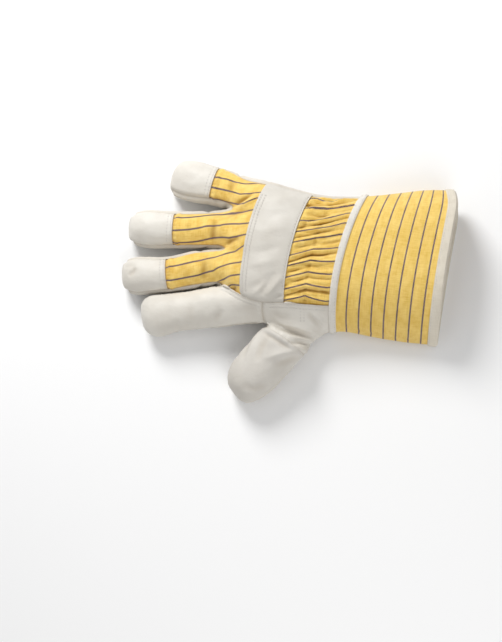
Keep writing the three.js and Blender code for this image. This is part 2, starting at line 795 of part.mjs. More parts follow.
const weltSection = [
  { distance: -weltWidth / 2, offset: layGap + weltThickness },
  { distance: 0, offset: layGap + weltThickness },
  { distance: weltWidth / 2, offset: layGap + weltThickness },
  { distance: weltWidth / 2, offset: layGap },
  { distance: 0, offset: layGap },
  { distance: -weltWidth / 2, offset: layGap },
];
addPiece('wrist_welt', band(
  skin,
  wristLoop,
  weltSection,
  neighboursOf(wristLoop, cuffFaces),
  neighboursOf(wristLoop, handFaces),
), tape);

const bindingOver = layGap + bindingThickness;
const bindingSection = [
  { distance: bindingWidth, offset: layGap },
  { distance: -layGap, offset: layGap },
  { distance: -layGap, offset: -canvasThickness - layGap },
  { distance: bindingWidth, offset: -canvasThickness - layGap },
  { distance: bindingWidth, offset: -canvasThickness - bindingOver },
  { distance: -bindingOver, offset: -canvasThickness - bindingOver },
  { distance: -bindingOver, offset: bindingOver },
  { distance: bindingWidth, offset: bindingOver },
];
const mouthNeighbours = neighboursOf(mouthLoop, cuffFaces);
addPiece('cuff_binding', band(skin, mouthLoop, bindingSection, mouthNeighbours), binding);

// The origin is the middle of the glove's box, on the floor
const box = new THREE.Box3().setFromObject(glove);
const middle = box.getCenter(new THREE.Vector3());
glove.position.set(-middle.x, -middle.y, -box.min.z);
glove.updateMatrixWorld(true);

export default glove;
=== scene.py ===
"""A leather and striped cotton work glove for the right hand, lying palm down on a pale floor.

The fingers point along -X and the cuff along +X, the little finger lies toward +Y, and the back of
the hand faces +Z. One quad cage is grown ring by ring from tables of sections, smoothed, modelled
with seams, folds and gathers, and cut along its sewing lines into panels, each of which becomes a
closed sheet of leather or cloth. Tapes and rows of stitches are laid on the finished panels.
"""

import logging
import math
from collections.abc import Callable, Iterable, Sequence
from dataclasses import dataclass, field
from enum import Enum

import bmesh
import bpy
import numpy as np
from bmesh.types import BMesh, BMFace, BMVert
from mathutils import Matrix, Vector, noise
from mathutils.bvhtree import BVHTree
from mathutils.kdtree import KDTree


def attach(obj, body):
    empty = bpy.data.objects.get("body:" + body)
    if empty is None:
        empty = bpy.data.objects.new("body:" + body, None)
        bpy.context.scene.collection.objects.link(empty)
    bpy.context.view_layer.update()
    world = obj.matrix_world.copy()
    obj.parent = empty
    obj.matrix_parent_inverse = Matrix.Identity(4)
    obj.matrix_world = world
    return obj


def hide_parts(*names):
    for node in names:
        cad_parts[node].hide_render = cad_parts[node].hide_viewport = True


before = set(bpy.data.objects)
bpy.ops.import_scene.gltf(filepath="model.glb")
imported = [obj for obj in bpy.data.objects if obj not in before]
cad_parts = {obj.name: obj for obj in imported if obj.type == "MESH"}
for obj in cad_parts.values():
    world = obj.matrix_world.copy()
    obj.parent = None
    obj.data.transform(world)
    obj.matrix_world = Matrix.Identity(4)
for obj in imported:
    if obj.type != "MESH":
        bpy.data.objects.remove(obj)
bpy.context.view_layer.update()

log = logging.getLogger("glove")

Colour = tuple[float, float, float]
Line = list[Vector]
# A stitch is its place, its direction and the surface's normal
Stitch = tuple[Vector, Vector, Vector]
Socket = bpy.types.NodeSocket
NodeTree = bpy.types.NodeTree
Mesh = bpy.types.Mesh

# The tables below are in millimetres, from the middle of the wrist seam on the skin of the palm's
# floor. Finished pieces are in metres, from the middle of the glove's box on the floor.
MM = 0.001
ORIGIN = Vector((49.530, 9.577, 0.001))

# How far above the floor the lowest points lie, and the angle past which an edge is shaded sharp
FLOOR_GAP = 0.1
SHARP_ANGLE = 50

BODY = "root"


class Panel(Enum):
    """The panels that the skin is cut into."""

    CUFF = 1
    SIDE_PANEL = 2
    INDEX_BACK = 3
    BACK_COTTON = 4
    PALM_LEATHER = 5
    THUMB_OUTER = 6
    THUMB_INNER = 7
    MIDDLE_TIP = 8
    RING_TIP = 9
    LITTLE_TIP = 10
    FINGER_FRONTS = 11


class Cover(Enum):
    """Pieces that are sewn over the skin; NONE where the skin is bare."""

    NONE = 0
    KNUCKLE_STRAP = 1
    PALM_PATCH = 2


@dataclass(frozen=True)
class Section:
    """One ring of the body of the glove.

    along is the share of the cuff's or the hand's length from the wrist seam, side the drift of
    its middle toward the little finger as a share of the width, and hand how far the hand's own
    width and height hold rather than the wrist's. bow tells how far the middle runs ahead toward
    the fingers, web how far the thumb's web draws out the side, and tuck how far the little
    finger's side stands back. index_edge and little_edge are the heights of the side folds, and
    index_round and little_round their roundness. cotton_from is where the cotton back starts.
    """

    along: float
    side: float
    width: float
    bow: float
    index_edge: float
    little_edge: float
    index_round: float
    little_round: float
    height: float = 1.0
    hand: float = 0.0
    web: float = 0.0
    tuck: float = 0.0
    settle: float = 0.0
    cotton_from: float = -0.71


CUFF_SECTIONS = (
    Section(1.00, -0.050, 1.000, 0.010, 0.12, 0.46, 1.15, 2.1, tuck=0.075, settle=1.0),
    Section(0.66, -0.026, 1.045, 0.022, 0.13, 0.46, 1.20, 2.1, settle=1.0),
    Section(0.30, -0.014, 1.015, 0.036, 0.17, 0.46, 1.35, 2.0, settle=0.4),
)
HAND_SECTIONS = (
    Section(0.000, 0.005, 1.000, 0.049, 0.22, 0.46, 1.5, 2.0, 1.00, 0.0, 0.00, cotton_from=-0.745),
    Section(0.220, -0.004, 1.000, 0.049, 0.28, 0.45, 1.6, 1.9, 0.99, 0.3, 0.14, cotton_from=-0.67),
    Section(0.415, 0.018, 0.980, 0.049, 0.36, 0.44, 1.7, 1.8, 1.04, 0.6, 0.06, cotton_from=-0.68),
    Section(0.605, 0.063, 0.985, 0.052, 0.38, 0.42, 1.8, 1.8, 1.03, 0.8, 0.00, cotton_from=-0.78),
    Section(0.790, 0.100, 1.000, 0.055, 0.40, 0.42, 1.8, 1.8, 0.97, 1.0, 0.00, cotton_from=-0.72),
    Section(1.000, 0.118, 1.065, 0.045, 0.45, 0.45, 2.0, 2.0, 0.80, 1.0, 0.00, cotton_from=-0.465),
)


@dataclass(frozen=True)
class DigitSection:
    """One ring of a finger or the thumb, with shares of the digit's own length and width."""

    along: float
    drift: float
    width: float
    height: float
    turn: float = 0.0


@dataclass(frozen=True)
class Finger:
    """A finger: its size, its direction in plan, and the stretch of the root section it grows from."""

    name: str
    length: float
    width: float
    height: float
    angle: float
    roll: float
    start: float
    end: float
    set_back: float
    back: Panel
    tip: Panel
    sections: tuple[DigitSection, ...]


FINGERS = (
    Finger("index", 68, 31, 27, 6.5, 8, -1.0, -0.465, 1, Panel.INDEX_BACK, Panel.INDEX_BACK, (
        DigitSection(0.32, -0.05, 0.98, 1.00),
        DigitSection(0.62, -0.03, 0.99, 0.97),
        DigitSection(0.85, 0.00, 1.10, 0.96),
        DigitSection(0.97, 0.02, 0.74, 0.72),
    )),
    Finger("middle", 88, 30, 27, 3, 4, -0.465, -0.01, 1, Panel.BACK_COTTON, Panel.MIDDLE_TIP, (
        DigitSection(0.27, 0.04, 1.06, 1.02),
        DigitSection(0.53, -0.09, 0.92, 0.96),
        DigitSection(0.84, 0.00, 1.10, 0.98),
        DigitSection(0.96, 0.04, 0.82, 0.72),
    )),
    Finger("ring", 88.5, 30, 27, -4, 6, -0.01, 0.54, 0, Panel.BACK_COTTON, Panel.RING_TIP, (
        DigitSection(0.26, 0.00, 1.02, 1.02),
        DigitSection(0.525, -0.03, 0.96, 0.96),
        DigitSection(0.83, 0.00, 1.08, 0.98),
        DigitSection(0.96, 0.02, 0.78, 0.72),
    )),
    Finger("little", 63, 31, 26, -17, -12, 0.54, 1.0, 0, Panel.BACK_COTTON, Panel.LITTLE_TIP, (
        DigitSection(0.14, 0.02, 1.00, 1.02),
        DigitSection(0.33, 0.03, 1.01, 1.00),
        DigitSection(0.76, 0.04, 1.18, 1.00),
        DigitSection(0.94, 0.02, 0.88, 0.74),
    )),
)

THUMB_SECTIONS = (
    DigitSection(0.02, 0.00, 1.03, 1.12, 10),
    DigitSection(0.28, -0.03, 0.97, 1.04, 2),
    DigitSection(0.56, 0.00, 1.00, 1.00, 0),
    DigitSection(0.82, 0.00, 0.88, 0.94, -2),
    DigitSection(0.95, 0.00, 0.58, 0.68, -4),
)


@dataclass(frozen=True)
class GloveSizes:
    """Sizes of the glove in millimetres, and the shares that shape its rings."""

    hand_length: float = 94
    hand_width: float = 117
    hand_height: float = 44
    wrist_width: float = 109
    wrist_height: float = 42
    cuff_length: float = 80
    cuff_width: float = 124
    cuff_height: float = 46
    thumb_length: float = 65
    thumb_width: float = 41
    thumb_height: float = 30
    leather: float = 1.4
    cotton: float = 1.1
    canvas: float = 1.8
    lay_gap: float = 0.3
    binding: float = 1.0
    wrist_lean: float = 0.27
    root_lean: float = 0.17
    cuff_lean: float = 0.19
    thumb_angle: float = 223.5
    outer_lane: float = 0.95
    far_lane: float = 0.975
    side_lane: float = 0.97
    side_crowding: float = 1.6
    fold_reach: float = 1.02
    web_start: float = 0.6
    tuck_start: float = 0.7
    profile_width: float = 2.6
    fold_width: float = 8
    fold_start: float = 0.1
    fold_lift: float = 0.8
    crotch_dip: float = 0.30
    crotch_lift: float = 0.10
    crotch_height: float = 0.42
    crotch_set_back: float = 4
    settle_from: float = 0.33
    settle_to: float = 0.85
    finger_spread: float = 1.07
    thumb_spread: float = 1.05
    flat_below: float = -0.9
    thumb_offset: float = 0.16
    thumb_flatten: float = 0.97

    @property
    def rest(self) -> float:
        """Height of the palm's skin, which leaves room for the patch below it."""
        return self.leather + self.lay_gap


# Lanes run along the hand: three for each finger on the back, a side point, as many lanes below
LANES_PER_FINGER = 3
LANES = LANES_PER_FINGER * len(FINGERS)
RING_SIZE = 2 * (LANES + 1) + 2
INDEX_SIDE = RING_SIZE - 1
LITTLE_SIDE = LANES + 1
FIRST_COTTON = LANES_PER_FINGER

# Rows of the body's rings, counted from the wrist seam toward the fingers
WRIST_ROW = 0
STRAP_FROM = 2
STRAP_TO = 4
PATCH_FROM = 1
PATCH_TO = 5
THUMB_FROM = 1
THUMB_TO = 3
THUMB_LANES_BELOW = 2
FINGER_ROW = len(HAND_SECTIONS) - 1
THUMB_ROW = 20

# Angles round a finger's ring, in degrees; on a capped finger, the rings from TIP_FROM on carry the
# edges of the cap lower down its sides
FINGER_ANGLES = (157, 113, 67, 23, -6, -38, -72, -108, -142, 186)
TIP_ANGLES = (170, 117, 63, 10, -18, -46, -75, -105, -134, 198)
TIP_FROM = 2
# Angles round the thumb's ring, its first lane, and the points where its back and front meet
THUMB_ANGLES = (60, 90, 120, 150, 180, 210, 240, 270, 300, 330, 0, 30)
THUMB_LANE = -20
THUMB_INNER_SIDE = 4
THUMB_OUTER_SIDE = 10
THUMB_BACK_LANES = 4

# Distance between two stripes, and the length of the cuff's cloth across its stripes
STRIPE_PITCH = 10.5
CUFF_STRIPE_LENGTH = 88.0


@dataclass(frozen=True)
class StripeRun:
    """How the stripes lie across one ring: stripes for each lane, and their shift, in stripes."""

    density: float = 1.0
    shift: float = 0.0


BODY_STRIPES = (
    StripeRun(1.04, 0.10),
    StripeRun(1.02, 0.42),
    StripeRun(1.00, 0.20),
    StripeRun(1.00, 0.20),
    StripeRun(1.00, 0.10),
    StripeRun(0.98, 0.00),
)
FINGER_STRIPES = {"index": 0.0, "middle": 0.12, "ring": 0.40, "little": 0.26}
FINGER_DENSITY = 0.94

# Where the stripes really run: the places across the cloth of stripes 0 to 10 at a few stations
# along it, in millimetres, from the fingertip caps to the wrist
STRIPE_STATIONS = (-138, -112, -100, -91, -84, -75, -40, -22, -5)
STRIPE_LINES = (
    (12, 12, 12, 15, 22, 29, 35.2, 41.3, 35.5),
    (22.5, 22.5, 23, 30, 36.4, 40.3, 44, 50.7, 46.7),
    (33, 33, 33.5, 38.2, 43.4, 48.6, 53.2, 60.6, 57.6),
    (43.4, 42.5, 43.8, 48.8, 53.4, 58.8, 62.7, 70.4, 68.4),
    (53.3, 53, 55, 59.3, 63.5, 71.9, 71.3, 80.1, 80.3),
    (72, 73, 72.5, 72.2, 74.8, 80.2, 82.3, 89.9, 92.2),
    (81.6, 82.5, 81.2, 82.7, 84.7, 89.4, 91.5, 98.4, 102.1),
    (91.3, 92, 90.5, 91.6, 95, 100.6, 100.8, 107, 111.6),
    (98, 98, 98, 98.8, 101.9, 110.8, 112.3, 116.2, 119.6),
    (106.6, 106.7, 107, 107.6, 111.2, 116.2, 122.6, 125, 130.8),
    (114.2, 114.2, 115.8, 118.6, 122, 125.4, 132.3, 136.2, 141),
)
STRAP_STATION, ELASTIC_STATION = STRIPE_STATIONS[-3:-1]


def lerp(start: float, end: float, share: float) -> float:
    """Value at a share of the way from start to end."""
    return start + (end - start) * share


def smoothstep(value: float, low: float, high: float) -> float:
    """Smooth rise from 0 at low to 1 at high."""
    share = min(1.0, max(0.0, (value - low) / (high - low)))
    return share * share * (3 - 2 * share)


def bell(values: np.ndarray, width: float, middle: float = 0.0) -> np.ndarray:
    """A smooth bump: 1 at the middle, fading out over the width."""
    return np.exp(-((values - middle) / width) ** 2)


def below_lane(lane: int) -> int:
    """Place in the body's ring of the point that lies below a lane of the back."""
    return RING_SIZE - 2 - lane


@dataclass
class Ring:
    """A ring of the cage: its points and, for each and once more for the first, the cloth's place."""

    points: list[BMVert]
    cloth: list[tuple[float, float]]


@dataclass
class Row:
    """A body section with its sizes worked out in millimetres."""

    section: Section
    x: float
    y: float
    half: float
    height: float
    lean: float
    floor: float
    tuck: float


def extruded(bm: BMesh, points: Sequence[BMVert], is_closed: bool = True) -> list[BMVert]:
    """Extrude the edges along a chain of points.

    Args:
        bm: The bmesh that holds the chain.
        points: The chain.
        is_closed: Whether the last point is joined to the first.

    Returns:
        The new chain, in the same order.
    """
    after = [*points[1:], points[0]] if is_closed else points[1:]
    edges = [bm.edges.get(pair) or bm.edges.new(pair) for pair in zip(points, after)]
    made = bmesh.ops.extrude_edge_only(bm, edges=edges)["geom"]
    fresh = {item for item in made if isinstance(item, BMVert)}
    return [
        next(edge.other_vert(point) for edge in point.link_edges if edge.other_vert(point) in fresh)
        for point in points
    ]


@dataclass
class Cage:
    """The quad cage of the whole glove, in millimetres, grown from its sections."""

    sizes: GloveSizes

    def __post_init__(self) -> None:
        """Grow the cage."""
        self.bm: BMesh = bmesh.new()
        self.panel = self.bm.faces.layers.int.new("panel")
        self.cover = self.bm.faces.layers.int.new("cover")
        self.lane = self.bm.verts.layers.float.new("lane")
        self.row = self.bm.verts.layers.float.new("row")
        self.cloth = self.bm.loops.layers.uv.new("cloth")
        self.rows = self.body_rows()
        self.rings = self.grow_body()
        self.grow_fingers()
        self.grow_thumb()
        bmesh.ops.recalc_face_normals(self.bm, faces=self.bm.faces)
        highest = max(self.bm.faces, key=lambda face: face.calc_center_median().z)
        if highest.normal.z < 0:
            bmesh.ops.reverse_faces(self.bm, faces=self.bm.faces)

    def body_rows(self) -> list[Row]:
        """Work out the body's sections, from the cuff's mouth to the finger roots.

        Returns:
            The rows in order.
        """
        s = self.sizes
        rows = []
        for section in CUFF_SECTIONS:
            rows.append(Row(
                section=section,
                x=section.along * s.cuff_length,
                y=section.side * s.cuff_width,
                half=section.width * lerp(s.wrist_width, s.cuff_width, section.along) / 2,
                height=lerp(s.wrist_height, s.cuff_height, section.along),
                lean=lerp(s.wrist_lean, s.cuff_lean, section.along),
                floor=lerp(s.rest, s.lay_gap + s.binding, section.settle),
                tuck=section.tuck * s.cuff_length,
            ))
        for section in HAND_SECTIONS:
            rows.append(Row(
                section=section,
                x=-section.along * s.hand_length,
                y=section.side * s.hand_width,
                half=section.width * lerp(s.wrist_width, s.hand_width, section.hand) / 2,
                height=section.height * lerp(s.wrist_height, s.hand_height, section.hand),
                lean=lerp(s.wrist_lean, s.root_lean, section.along),
                floor=s.rest,
                tuck=0.0,
            ))
        return rows

    def across(self, row: Row, t: float) -> tuple[float, float]:
        """Place in plan of a share of a row, from -1 at the thumb's side to 1 at the little finger's.

        Args:
            row: The row.
            t: The share.

        Returns:
            The place along X and Y.
        """
        s = self.sizes
        reach = row.half / math.hypot(1, row.lean)
        bow = row.section.bow * 2 * row.half * (1 - t * t)
        web = row.section.web * (max(0.0, -t - s.web_start) / (1 - s.web_start)) ** 2
        tuck = row.tuck * (max(0.0, t - s.tuck_start) / (1 - s.tuck_start)) ** 2
        out = reach * (t - web)
        return row.x + row.lean * out - bow - tuck, row.y + out

    def upper_height(self, row: Row, t: float) -> float:
        """Height of the back at a share of a row: flat in the middle, rounded to the side folds.

        Args:
            row: The row.
            t: The share.

        Returns:
            The height.
        """
        section = row.section
        edge = section.index_edge if t < 0 else section.little_edge
        roundness = section.index_round if t < 0 else section.little_round
        rise = (1 - abs(t) ** self.sizes.profile_width) ** (1 / roundness)
        return row.floor + row.height * (edge + (1 - edge) * rise)

    def lower_height(self, row: Row, t: float) -> float:
        """Height of the palm side at a share of a row: flat, and lifted next to the side folds.

        Args:
            row: The row.
            t: The share.

        Returns:
            The height.
        """
        s = self.sizes
        edge = row.section.index_edge if t < 0 else row.section.little_edge
        lift = max(0.0, abs(t) ** s.fold_width - s.fold_start)
        return row.floor + row.height * edge * s.fold_lift * lift

    def lane_shares(self, row: Row, is_root: bool) -> list[float]:
        """Shares at which the lanes of a row lie; the root row follows the fingers.

        Args:
            row: The row.
            is_root: Whether the fingers grow from it.

        Returns:
            One share for each line between lanes.
        """
        s = self.sizes
        shares = []
        for lane in range(LANES + 1):
            index = min(lane // LANES_PER_FINGER, len(FINGERS) - 1)
            finger = FINGERS[index]
            within = (lane - index * LANES_PER_FINGER) / LANES_PER_FINGER
            start = row.section.cotton_from
            if is_root:
                first = max(finger.start, -s.outer_lane)
                shares.append(lerp(first, min(finger.end, s.outer_lane), within))
            elif lane <= FIRST_COTTON:
                crowded = (lane / FIRST_COTTON) ** s.side_crowding
                shares.append(lerp(-s.side_lane, start, crowded))
            else:
                share = (lane - FIRST_COTTON) / (LANES - FIRST_COTTON)
                shares.append(lerp(start, s.far_lane, share))
        return shares

    def ring_places(self, row: Row, is_root: bool) -> list[Vector]:
        """Places of the points of a body ring, over the back and below it back again.

        Args:
            row: The row.
            is_root: Whether the fingers grow from it.

        Returns:
            One place for each point of the ring.
        """
        s = self.sizes
        shares = self.lane_shares(row, is_root)
        upper, lower = [], []
        for lane, t in enumerate(shares):
            is_crotch = is_root and 0 < lane < LANES and lane % LANES_PER_FINGER == 0
            back = FINGERS[lane // LANES_PER_FINGER - 1].set_back * s.crotch_set_back if is_crotch else 0
            dip = s.crotch_dip * row.height if is_crotch else 0
            lift = s.crotch_lift * row.height if is_crotch else 0
            x, y = self.across(row, t)
            upper.append(Vector((x + back, y, self.upper_height(row, t) - dip)))
            lower.append(Vector((x + back, y, self.lower_height(row, t) + lift)))
        little = self.across(row, s.fold_reach)
        index = self.across(row, -s.fold_reach)
        little_side = Vector((*little, row.floor + row.section.little_edge * row.height))
        index_side = Vector((*index, row.floor + row.section.index_edge * row.height))
        return [*upper, little_side, *reversed(lower), index_side]

    def place_ring(self, points: Sequence[BMVert], places: Sequence[Vector], lanes: Sequence[float],
                   row: float) -> None:
        """Move the points of a ring to their places and note their lanes and row.

        Args:
            points: The ring's points.
            places: A place for each point.
            lanes: A lane for each point.
            row: The ring's row.
        """
        for point, place, lane in zip(points, places, lanes):
            point.co = place
            point[self.lane] = lane
            point[self.row] = row

    def face_at(self, first: BMVert, second: BMVert, beyond: BMVert) -> BMFace:
        """The face on an edge that also holds the point beyond it."""
        edge = self.bm.edges.get((first, second))
        return next(face for face in edge.link_faces if beyond in face.verts)

    def mark(self, ring: Ring, following: Ring, lane: int, panel: Panel,
             cover: Cover = Cover.NONE) -> None:
        """Note the panel, cover and cloth places of the face between two rings at a lane.

        Args:
            ring: The ring before the face.
            following: The ring after it.
            lane: The lane.
            panel: The face's panel.
            cover: The piece that is sewn over it.
        """
        after = (lane + 1) % len(ring.points)
        face = self.face_at(ring.points[lane], ring.points[after], following.points[lane])
        face[self.panel] = panel.value
        face[self.cover] = cover.value
        places = {
            ring.points[lane]: ring.cloth[lane],
            ring.points[after]: ring.cloth[lane + 1],
            following.points[lane]: following.cloth[lane],
            following.points[after]: following.cloth[lane + 1],
        }
        for loop in face.loops:
            loop[self.cloth].uv = places[loop.vert]

    def body_cloth(self, row: int) -> list[tuple[float, float]]:
        """Cloth places of a body ring: stripe coordinate first, then the place along the stripe.

        Args:
            row: The row, below zero on the cuff.

        Returns:
            Pairs in millimetres, one more than the ring has points.
        """
        index = row + len(CUFF_SECTIONS)
        section = self.rows[index].section
        half = self.rows[index].half
        if row < 0:
            reach = section.along * CUFF_STRIPE_LENGTH
            return [(reach, half * 4 * lane / RING_SIZE) for lane in range(RING_SIZE + 1)]
        run = BODY_STRIPES[row]
        middle = (FIRST_COTTON + LANES) / 2
        return [
            (STRIPE_PITCH * ((lane - middle) * run.density + middle + run.shift),
             -section.along * self.sizes.hand_length)
            for lane in range(RING_SIZE + 1)
        ]

    def wrist_cuff_cloth(self) -> list[tuple[float, float]]:
        """Cloth places of the wrist ring as the cuff's canvas meets it."""
        half = self.rows[len(CUFF_SECTIONS)].half
        return [(0.0, half * 4 * lane / RING_SIZE) for lane in range(RING_SIZE + 1)]

    def body_panel(self, row: int, lane: int) -> Panel:
        """Panel of the body's face at a row and lane.

        Args:
            row: The row, below zero on the cuff.
            lane: The lane.

        Returns:
            The panel.
        """
        if row < 0:
            return Panel.CUFF
        if lane < FIRST_COTTON or lane == INDEX_SIDE:
            return Panel.SIDE_PANEL if row < THUMB_TO else Panel.INDEX_BACK
        return Panel.BACK_COTTON if lane < LANES else Panel.PALM_LEATHER

    def body_cover(self, row: int, lane: int) -> Cover:
        """Piece that is sewn over the body's face at a row and lane.

        Args:
            row: The row, below zero on the cuff.
            lane: The lane.

        Returns:
            The cover.
        """
        if FIRST_COTTON <= lane < LANES and STRAP_FROM <= row < STRAP_TO:
            return Cover.KNUCKLE_STRAP
        is_palm = LITTLE_SIDE + 1 < lane < below_lane(THUMB_LANES_BELOW)
        if is_palm and PATCH_FROM <= row < PATCH_TO:
            return Cover.PALM_PATCH
        return Cover.NONE

    def grow_body(self) -> list[Ring]:
        """Grow the cuff and the hand as a tube and cut the thumb's opening.

        Returns:
            The rings of the hand.
        """
        lanes = [*range(LITTLE_SIDE + 1), *range(LITTLE_SIDE + 1, INDEX_SIDE), -1]
        rings: list[Ring] = []
        opening = []
        for index, row in enumerate(self.rows):
            number = index - len(CUFF_SECTIONS)
            places = self.ring_places(row, number == FINGER_ROW)
            if rings:
                points = extruded(self.bm, rings[-1].points)
            else:
                points = bmesh.ops.create_circle(self.bm, segments=RING_SIZE, radius=1.0)["verts"]
            self.place_ring(points, places, lanes, number)
            ring = Ring(points, self.body_cloth(number))
            if rings:
                last = rings[-1]
                end = Ring(points, self.wrist_cuff_cloth()) if number == WRIST_ROW else ring
                for lane in range(RING_SIZE):
                    self.mark(last, end, lane, self.body_panel(number - 1, lane),
                              self.body_cover(number - 1, lane))
                    if THUMB_FROM < number <= THUMB_TO and lane >= below_lane(THUMB_LANES_BELOW):
                        after = (lane + 1) % RING_SIZE
                        opening.append(self.face_at(last.points[lane], last.points[after], points[lane]))
            rings.append(ring)
        bmesh.ops.delete(self.bm, geom=opening, context="FACES")
        return rings[len(CUFF_SECTIONS):]

    def digit_floor(self, along: float) -> float:
        """Lowest point of a digit: level with the palm at its root, on the floor at its tip."""
        s = self.sizes
        return s.rest * (1 - smoothstep(along, s.settle_from, s.settle_to))

    def close_tip(self, ring: Ring, reach: Vector, back_lanes: int, back: Panel, front: Panel) -> None:
        """Close a tip with two rows of quads that meet at a seam round it.

        Args:
            ring: The last ring, in the order back, far side, below, near side.
            reach: Step from the ring to the seam.
            back_lanes: Lanes across the back.
            back: Panel of the row above the seam.
            front: Panel of the row below it.
        """
        points = ring.points
        near, far = points[-1], points[back_lanes + 1]
        uppers = points[:back_lanes + 1]
        lowers = list(reversed(points[back_lanes + 2:-1]))
        seam: list[BMVert] = []
        for chain, panel in ((uppers, back), (lowers, front)):
            made = extruded(self.bm, chain, is_closed=False)
            for index, point in enumerate(made[:-1]):
                face = self.face_at(chain[index], chain[index + 1], point)
                face[self.panel] = panel.value
                for loop in face.loops:
                    lane = chain.index(loop.vert) if loop.vert in chain else made.index(loop.vert)
                    across, down = ring.cloth[lane] if panel is back else (0.0, 0.0)
                    loop[self.cloth].uv = (across, down - (0 if loop.vert in chain else reach.length))
            if seam:
                bmesh.ops.weld_verts(self.bm, targetmap=dict(zip(made, seam)))
                continue
            for index, point in enumerate(made[1:-1], start=1):
                share = index / back_lanes
                point.co = near.co.lerp(far.co, share) + reach
                point[self.lane] = uppers[index][self.lane]
                point[self.row] = uppers[index][self.row] + 1
            bmesh.ops.weld_verts(self.bm, targetmap={made[0]: near, made[-1]: far})
            seam = [near, *made[1:-1], far]

    def grow_fingers(self) -> None:
        """Grow the four fingers from the root ring."""
        s = self.sizes
        row = self.rows[-1]
        root = self.rings[-1]
        crotches = [root.points[INDEX_SIDE]]
        for finger in FINGERS[:-1]:
            x, y = self.across(row, finger.end)
            height = row.floor + row.height * s.crotch_height
            place = Vector((x + finger.set_back * s.crotch_set_back, y, height))
            crotches.append(bmesh.ops.create_vert(self.bm, co=place)["vert"][0])
        crotches.append(root.points[LITTLE_SIDE])
        for index, finger in enumerate(FINGERS):
            self.grow_finger(finger, index, crotches[index], crotches[index + 1])

    def grow_finger(self, finger: Finger, index: int, near: BMVert, far: BMVert) -> None:
        """Grow one finger.

        Args:
            finger: The finger.
            index: Its place, counted from the thumb's side.
            near: The crotch point on the thumb's side.
            far: The crotch point on the little finger's side.
        """
        s = self.sizes
        row = self.rows[-1]
        root = self.rings[-1]
        first = index * LANES_PER_FINGER
        last = first + LANES_PER_FINGER
        upper = list(range(first, last + 1))
        points = [root.points[lane] for lane in upper]
        points.append(far)
        points += [root.points[below_lane(lane)] for lane in reversed(upper)]
        points.append(near)
        lanes = [first + step for step in range(len(FINGER_ANGLES))]
        cloth = [root.cloth[lane] for lane in lanes] + [root.cloth[first + len(lanes)]]
        ring = Ring(points, cloth)
        x, y = self.across(row, (finger.start + finger.end) / 2)
        angle = math.radians(180 + finger.angle)
        along = Vector((math.cos(angle), math.sin(angle), 0))
        side = Vector((along.y, -along.x, 0))
        middle = first + LANES_PER_FINGER / 2
        stripe_middle = (root.cloth[first][0] + root.cloth[last][0]) / 2
        for number, section in enumerate(finger.sections):
            centre = Vector((x, y, 0)) + along * section.along * finger.length
            centre += side * section.drift * finger.width
            floor = self.digit_floor(section.along)
            half_height = section.height * finger.height / 2
            places = []
            is_tip = number >= TIP_FROM and finger.back is not finger.tip
            for degrees in TIP_ANGLES if is_tip else FINGER_ANGLES:
                turned = math.radians(degrees + finger.roll)
                out = math.cos(turned) * section.width * finger.width / 2 * s.finger_spread
                rise = math.sin(turned) * half_height * s.finger_spread
                is_below = math.sin(math.radians(degrees)) < s.flat_below
                height = floor if is_below else max(floor, floor + half_height + rise)
                places.append(Vector((centre.x + side.x * out, centre.y + side.y * out, height)))
            made = extruded(self.bm, ring.points)
            self.place_ring(made, places, lanes, FINGER_ROW + 1 + number)
            reach = section.along * finger.length
            shift = FINGER_STRIPES[finger.name]
            cloth = [
                (stripe_middle + STRIPE_PITCH * ((lane - middle) * FINGER_DENSITY + shift),
                 root.cloth[0][1] - reach)
                for lane in [*lanes, lanes[-1] + 1]
            ]
            following = Ring(made, cloth)
            for lane in range(len(made)):
                panel = self.finger_panel(finger, lane, number)
                self.mark(ring, following, lane, panel)
            ring = following
        rest = finger.length * (1 - finger.sections[-1].along)
        self.close_tip(ring, along * rest, LANES_PER_FINGER, finger.tip, Panel.PALM_LEATHER)

    def finger_panel(self, finger: Finger, lane: int, number: int) -> Panel:
        """Panel of a finger's face; a cap covers the tip from the second section on.

        Args:
            finger: The finger.
            lane: The lane, counted from the finger's first.
            number: The section that the face leads to.

        Returns:
            The panel.
        """
        far_upper_side = LANES_PER_FINGER
        near_upper_side = len(FINGER_ANGLES) - 1
        is_back = lane < LANES_PER_FINGER
        if finger.back is Panel.INDEX_BACK:
            is_side = lane in (far_upper_side, near_upper_side)
            return Panel.INDEX_BACK if is_back or is_side else Panel.PALM_LEATHER
        if not is_back:
            return Panel.PALM_LEATHER
        return finger.back if number < TIP_FROM else finger.tip

